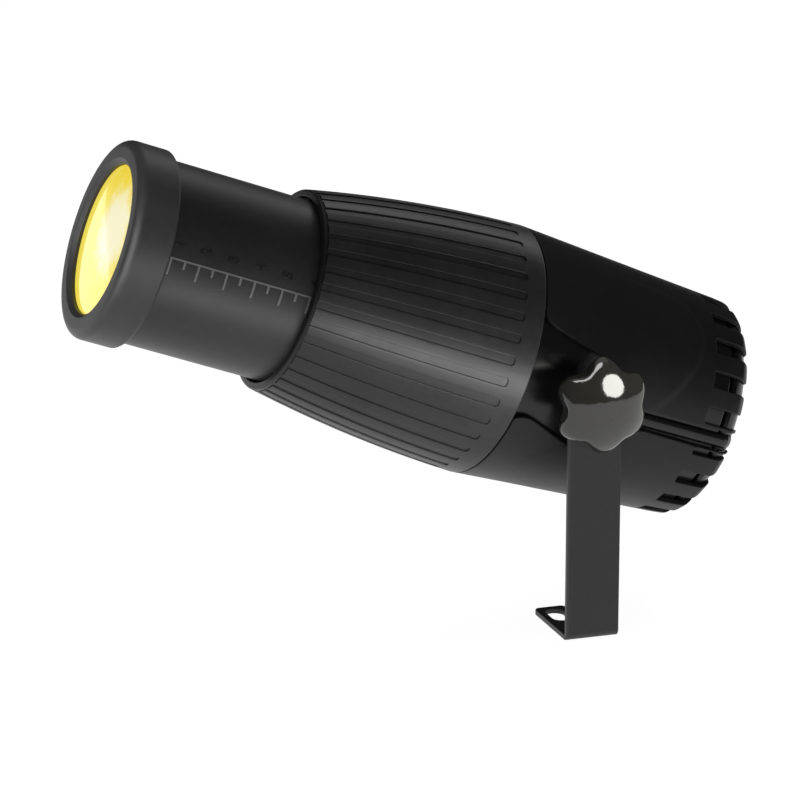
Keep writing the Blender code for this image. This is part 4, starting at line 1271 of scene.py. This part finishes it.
@dataclass
class Bracket(SubAssembly):
    """The bent steel strip: a round-topped arm with a slotted foot."""

    width: float = 24.2
    thickness: float = 2.5
    outer_y: float = -61.4
    bend: float = 3.0
    height: float = 107.0
    foot_far: float = -21.3
    tongue: float = 14.4
    slot_width: float = 8.4
    slot_length: float = 16.4
    slot_x: float = -4.8
    slot_y: float = -32.4
    stud_hole: float = 4.3
    edge_radius: float = 0.35

    @property
    def bend_length(self) -> float:
        """The strip's length round the outside of the bend."""
        return self.bend * math.pi * 0.5

    def flat(self, across: float) -> float:
        """The place along the flat strip of a Y on the foot."""
        return -(across - self.outer_y - self.bend)

    def build(self) -> None:
        """Cuts the flat strip, rounds its edges and bends it."""
        half = self.width * 0.5
        tongue = -half + self.tongue
        top = self.bend_length + self.height - self.bend
        far = self.foot_far
        corners: list[Corner] = [
            (half, top, 0.0),
            (half, self.flat(-54.0), 2.0),
            (tongue + 2.5, self.flat(far - 12.0), 3.0),
            (tongue, self.flat(far - 8.0), 3.0),
            (tongue, self.flat(far), 2.6),
            (-half, self.flat(far), 2.6),
            (-half, top, 0.0),
        ]
        outline = rounded(corners, 6)
        steps = 48
        for step in range(1, steps):
            turn = math.pi * (1.0 - step / steps)
            outline.append((math.cos(turn) * half, top + math.sin(turn) * half))
        holes = [self.slot_outline(), self.circle_outline(0.0, top, self.stud_hole)]
        mesh = plate(outline, self.thickness, 0.0, holes)
        softened(mesh, [edge for edge in mesh.edges if self.on_rim(edge)], self.edge_radius, 3)
        sliced(mesh, 1, [self.bend_length * step / 12.0 for step in range(13)])
        sliced(mesh, 1, [-0.6] + spread(self.bend_length + 0.6, top + half - 1.0, 4.0))
        sliced(mesh, 0, [1.4 - half, half - 1.4])
        for vert in mesh.verts:
            vert.co = self.bent(vert.co)
        seat = self.lamp.seat
        self.piece("mounting_arm", mesh, Palette.bracket, Body.BRACKET, ["bracket_arm"], seat, 35.0)

    def on_rim(self, edge: bmesh.types.BMEdge) -> bool:
        """True for an edge where a face of the strip meets its cut side."""
        if len(edge.link_faces) != 2:
            return False
        return edge.link_faces[0].normal.angle(edge.link_faces[1].normal, 0.0) > math.radians(60.0)

    def slot_outline(self) -> list[Point2]:
        """The oblong slot in the foot."""
        reach = (self.slot_length - self.slot_width) * 0.5
        centre = self.flat(self.slot_y)
        outline = []
        steps = 40
        for step in range(steps):
            turn = 2.0 * math.pi * (step + 0.5) / steps
            push = math.copysign(reach, math.sin(turn))
            across = self.slot_x + math.cos(turn) * self.slot_width * 0.5
            outline.append((across, centre + math.sin(turn) * self.slot_width * 0.5 + push))
        return outline

    def circle_outline(self, across: float, along: float, radius: float) -> list[Point2]:
        """A round hole."""
        steps = 40
        turns = [2.0 * math.pi * step / steps for step in range(steps)]
        return [(across + math.cos(t) * radius, along + math.sin(t) * radius) for t in turns]

    def bent(self, place: Vector) -> Vector:
        """Takes a point of the flat strip to the bent one.

        Args:
            place: (across, along from the bend, height), where height 0 is the outer face.

        Returns:
            The point in the bracket's millimetres.
        """
        across, along, height = place
        depth = -height
        if along <= 0.0:
            return Vector((across, self.outer_y + self.bend - along, depth))
        if along >= self.bend_length:
            return Vector((across, self.outer_y + depth, self.bend + along - self.bend_length))
        turn = along / self.bend
        reach = self.bend - depth
        centre = self.outer_y + self.bend
        return Vector((across, centre - math.sin(turn) * reach, self.bend - math.cos(turn) * reach))


# ---------------------------------------------------------------- rear end and enclosed parts


@dataclass
class RearEnd(SubAssembly):
    """The slotted rear cap, the sealed cable gland and the plug on the far side."""

    gland_height: float = -22.0
    slots: int = 5
    slot_low: float = 4.0
    slot_pitch: float = 6.0
    slot_height: float = 3.0
    slot_reach: float = 39.0

    def build(self) -> None:
        """Builds the rear pieces."""
        self.build_cap()
        self.build_gland()
        self.build_plug()

    @property
    def gland_place(self) -> Matrix:
        """The lamp's frame moved down to the gland."""
        return self.lamp.body @ Matrix.Translation((0.0, 0.0, self.gland_height))

    def build_cap(self) -> None:
        """The dished cap with its vent slots."""
        profile = [(-69.0, 0.0), (-69.0, 46.0), (-69.4, 46.5), (-71.0, 46.9), (-73.2, 46.1), (-75.0, 44.5)]
        profile += [(-76.2, 43.2), (-76.7, 42.4), (-76.8, 41.6), (-76.8, 40.4), (-76.6, 40.0)]
        profile += [(-74.6, 39.2), (-74.2, 38.6), (-74.2, 0.0)]
        mesh = turned(profile, Axis.BEAM, 128, closed=False)
        for index in range(self.slots):
            low = self.slot_low + index * self.slot_pitch
            reach = math.sqrt((self.slot_reach - 3.0) ** 2 - (low + self.slot_height) ** 2)
            end = self.slot_height * 0.5 - 0.01
            corners = [
                (-reach, low, end), (reach, low, end),
                (reach, low + self.slot_height, end), (-reach, low + self.slot_height, end),
            ]
            tool = plate(rounded(corners, 8), 30.0)
            for vert in tool.verts:
                across, height, depth = vert.co
                vert.co = (90.0 + depth, across, height)
            mesh = cut_by(mesh, tool)
        bore = turned([(-60.0, 0.0), (-60.0, 6.3), (-80.0, 6.3), (-80.0, 0.0)], Axis.BEAM, 48, closed=False)
        bmesh.ops.translate(bore, verts=bore.verts, vec=(0.0, 0.0, self.gland_height))
        mesh = cut_by(mesh, bore)
        self.piece("vent_cap", mesh, Palette.core, Body.LAMP, ["rear_cap"], sharp=30.0)

    def build_gland(self) -> None:
        """The gland body with flats, its sealing insert and the hexagon nut inside."""
        place = self.gland_place
        corners = [
            (-66.0, 3.2, 0.2), (-66.0, 6.0, 0.3), (-74.5, 6.0, 0.0), (-74.5, 9.0, 0.5),
            (-79.5, 9.0, 1.0), (-84.0, 6.2, 1.0), (-84.0, 3.2, 0.4),
        ]
        mesh = turned(rounded(corners, 4), Axis.BEAM, 60)
        self.piece("gland_body", mesh, Palette.nylon, Body.LAMP, ["cable_gland"], place)
        profile = [(-66.4, 0.0), (-66.4, 2.9), (-83.4, 2.9), (-83.4, 1.4), (-82.6, 0.9), (-82.2, 0.0)]
        mesh = turned(profile, Axis.BEAM, 40, closed=False)
        self.piece("gland_insert", mesh, Palette.rubber, Body.LAMP, ["gland_seal"], place)
        mesh = turned([(-68.7, 7.4), (-68.7, 10.0), (-66.2, 10.0), (-66.2, 7.4)], Axis.BEAM, 6)
        ridges = [edge for edge in mesh.edges if edge.calc_face_angle(0.0) > math.radians(40.0)]
        softened(mesh, ridges, 0.3, 2)
        self.piece("gland_locknut", mesh, Palette.nylon, Body.LAMP, ["gland_nut"], place)

    def build_plug(self) -> None:
        """The domed blank plug in the far side's opening."""
        profile = [(48.6, 0.0), (48.6, 9.0), (51.2, 9.0), (51.9, 8.7), (52.4, 8.0)]
        profile += [(52.8, 5.0), (52.9, 0.0)]
        mesh = turned(profile, Axis.TILT, 60, closed=False)
        self.piece("blank_plug", mesh, Palette.slide, Body.LAMP, ["far_side_plug"])


@dataclass
class EnclosedParts(SubAssembly):
    """The light engine and the fan, which keep their solids."""

    edge_radius: float = 0.0002

    def build(self, nodes: dict[str, bpy.types.Object]) -> None:
        """Dresses each enclosed node and softens its edges.

        Args:
            nodes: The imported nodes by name.
        """
        finishes = {
            "gate_plate": Palette.aluminium,
            "condenser_lens": Palette.glass,
            "condenser_holder": Palette.core,
            "led_emitter": Palette.emitter,
            "led_board": Palette.board,
            "heat_sink": Palette.aluminium,
            "heat_sink_carrier": Palette.aluminium,
            "fan_frame": Palette.nylon,
            "fan_rotor": Palette.nylon,
            "driver_board": Palette.board,
        }
        for name, finish in finishes.items():
            node = nodes[name]
            node.data.materials.clear()
            node.data.materials.append(finish.material())
            weld = node.modifiers.new("weld", "WELD")
            weld.merge_threshold = 1e-6
            bevel = node.modifiers.new("soft_edges", "BEVEL")
            bevel.width = self.edge_radius
            bevel.segments = 2
            bevel.limit_method = "ANGLE"
            bevel.angle_limit = math.radians(50.0)
            LOG.info("%s keeps its solid", name)


# ---------------------------------------------------------------- studio


@dataclass(frozen=True)
class Softbox:
    """One area light: what it faces, where it stands from there, its size and its face's brightness."""

    name: str
    target: Vector
    direction: tuple[float, float, float]
    distance: float
    size: tuple[float, float]
    brightness: float
    tint: tuple[float, float, float] = (1.0, 1.0, 1.0)
    only: tuple[str, ...] = ()
    shape: str = "RECTANGLE"
    mirrors: bool = True
    along: tuple[float, float, float] = (1.0, 0.0, 0.0)

    def build(self) -> None:
        """Makes the light, aims it and keeps it to the pieces it is meant for."""
        data = bpy.data.lights.new(self.name, "AREA")
        data.shape = self.shape
        data.size, data.size_y = self.size
        data.energy = self.brightness * math.pi * self.size[0] * self.size[1]
        data.color = self.tint
        light = shown(self.name, data)
        away = Vector(self.direction).normalized()
        along = Vector(self.along)
        across = (along - away * along.dot(away)).normalized()
        turn = Matrix((across, away.cross(across), away)).transposed()
        light.matrix_world = Matrix.Translation(self.target + away * self.distance) @ turn.to_4x4()
        light.visible_camera = False
        light.visible_glossy = self.mirrors
        if self.only:
            group = bpy.data.collections.new(self.name + "_receivers")
            for name in self.only:
                group.objects.link(bpy.data.objects[name])
            light.light_linking.receiver_collection = group
            light.light_linking.blocker_collection = group
        LOG.info("light %s", self.name)


@dataclass
class Studio:
    """The pale floor, the soft lights and the camera."""

    lamp: LampFrame
    lens: float = 171.0
    camera_offset: tuple[float, float, float] = (-0.5779, -1.5076, 0.4390)
    camera_right: tuple[float, float, float] = (0.947, -0.321, 0.0)
    camera_back: tuple[float, float, float] = (-0.30868, -0.91162, 0.27141)
    floor_size: float = 12.0
    floor_glow: float = 0.93
    surround: float = 0.07
    barrel_reach: float = 0.0525
    slide_reach: float = 0.0405

    def build(self) -> None:
        """Builds the set."""
        bpy.context.scene.view_settings.view_transform = "Standard"
        self.build_world()
        self.build_floor()
        self.build_lights()
        self.build_camera()

    def build_world(self) -> None:
        """A dim surround for the reflections that looks white to the camera."""
        world = bpy.data.worlds.new("surround")
        bpy.context.scene.world = world
        world.use_nodes = True
        tree = world.node_tree
        shader = tree.nodes["Background"]
        path = tree.nodes.new("ShaderNodeLightPath")
        strength = tree.nodes.new("ShaderNodeMapRange")
        tree.links.new(path.outputs["Is Camera Ray"], strength.inputs[0])
        strength.inputs[3].default_value = self.surround
        strength.inputs[4].default_value = 1.0
        tree.links.new(strength.outputs[0], shader.inputs["Strength"])
        shader.inputs["Color"].default_value = (1.0, 1.0, 1.0, 1.0)

    def build_floor(self) -> None:
        """A wide pale floor."""
        mesh = bmesh.new()
        bmesh.ops.create_grid(mesh, x_segments=4, y_segments=4, size=self.floor_size)
        bmesh.ops.translate(mesh, verts=mesh.verts, vec=(0.0, 0.0, -0.0002))
        data = bpy.data.meshes.new("studio_floor")
        mesh.to_mesh(data)
        mesh.free()
        floor = shown("studio_floor", data)
        nodes = Nodes("finish_floor")
        cloud = nodes.noise(6.0, 3.0)
        colour = nodes.mixed(cloud, (0.86, 0.86, 0.86), (0.88, 0.88, 0.88))
        nodes.link(colour, nodes.shader.inputs["Base Color"])
        nodes.link(nodes.ranged(cloud, 0.0, 1.0, 0.85, 0.95), nodes.shader.inputs["Roughness"])
        nodes.shader.inputs["Emission Color"].default_value = (1.0, 1.0, 1.0, 1.0)
        nodes.set(Emission_Strength=self.floor_glow, Specular_IOR_Level=0.1)
        data.materials.append(nodes.material)

    def build_lights(self) -> None:
        """The softboxes round the lamp."""
        middle = self.lamp.point(60.0, 0.0, 0.0)
        barrel = self.lamp.point(78.0, 0.0, 0.0)
        slide = self.lamp.point(165.0, 0.0, 0.0)
        bezel = self.lamp.point(209.0, -42.0, 0.0)
        pocket = self.lamp.point(8.0, -48.0, -5.0)
        knob = self.lamp.point(0.0, -78.0, 0.0)
        up, front = self.lamp.up, self.lamp.beam
        side = Vector((0.0, -1.0, 0.0))
        barrel_face = side * math.cos(math.radians(3.0)) - up * math.sin(math.radians(3.0))
        slide_face = side * math.cos(math.radians(10.0)) - up * math.sin(math.radians(10.0))
        barrel_side = barrel + barrel_face * self.barrel_reach
        slide_side = slide + slide_face * self.slide_reach
        knob_face = side * 0.93 + Vector((0.05, 0.0, 0.39))
        for light in (
            Softbox("top_light", middle, (0.1, 0.35, 1.0), 1.6, (1.6, 1.6), 0.32),
            Softbox("front_fill", middle, (-0.2, -1.0, 0.35), 2.2, (1.4, 1.4), 0.30,
                    mirrors=False),
            Softbox("band_card", barrel_side, self.mirrored(barrel_side, barrel_face), 0.14, (0.24, 0.04),
                    12.0, only=("grip_barrel",), along=tuple(front)),
            Softbox("slide_card", slide_side, self.mirrored(slide_side, slide_face), 0.14, (0.2, 0.06), 4.0,
                    only=("slide_tube",), along=tuple(front)),
            Softbox("bezel_card", bezel, self.mirrored(bezel, side + front * 0.7), 0.6, (0.7, 0.9), 6.0,
                    only=("front_bezel",)),
            Softbox("bezel_side_card", bezel, self.mirrored(bezel, side - up * 0.1), 0.35, (0.3, 0.24), 2.6,
                    only=("front_bezel",)),
            Softbox("crown_card", barrel, self.mirrored(barrel, up + side * 0.45), 0.9, (1.2, 0.3), 1.6,
                    only=("grip_barrel", "slide_tube", "front_bezel")),
            Softbox("scale_box", slide, (-0.95, -0.30, 0.25), 0.9, (0.3, 0.3), 3.0,
                    only=("focus_scale", "scale_numerals")),
            Softbox("pocket_card", pocket, self.mirrored(pocket, side - front * 0.47), 0.15, (0.06, 0.12),
                    7.0, only=("joint_pocket",)),
            Softbox("knob_window", knob, self.mirrored(knob, knob_face), 0.6, (0.42, 0.42), 11.0,
                    tint=(1.0, 1.0, 0.94), only=("clamp_knob",), shape="ELLIPSE"),
            Softbox("knob_rim_light", knob, (-0.2, -0.22, 1.0), 0.6, (0.5, 0.2), 7.0, only=("clamp_knob",)),
        ):
            light.build()

    def mirrored(self, point: Vector, facing: Vector) -> tuple[float, float, float]:
        """The way a surface at a point, facing as given, sends the camera's view."""
        view = (self.lamp.pivot + Vector(self.camera_offset) - point).normalized()
        normal = facing.normalized()
        return tuple(2.0 * normal.dot(view) * normal - view)

    def build_camera(self) -> None:
        """The camera, level and slightly above the lamp."""
        data = bpy.data.cameras.new("studio_camera")
        data.sensor_width = 36.0
        data.lens = self.lens
        data.clip_start = 0.05
        data.clip_end = 60.0
        camera = shown("studio_camera", data)
        back = Vector(self.camera_back).normalized()
        right = Vector(self.camera_right).normalized()
        up = back.cross(right)
        turn = Matrix((right, up, back)).transposed()
        place = Matrix.Translation(self.lamp.pivot + Vector(self.camera_offset))
        camera.matrix_world = place @ turn.to_4x4()
        bpy.context.scene.camera = camera


def main() -> None:
    """Loads the frame and builds every sub-assembly and the studio round it."""
    logging.basicConfig(level=logging.INFO, format="%(message)s")
    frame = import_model()
    lamp = LampFrame.packed(frame["joints"])
    LensSlide(lamp).build()
    RibbedBarrel(lamp).build()
    RearHousing(lamp).build()
    TiltJoint(lamp).build()
    Bracket(lamp).build()
    RearEnd(lamp).build()
    EnclosedParts(lamp).build(frame["nodes"])
    Studio(lamp).build()


if __name__ == "__main__":
    main()
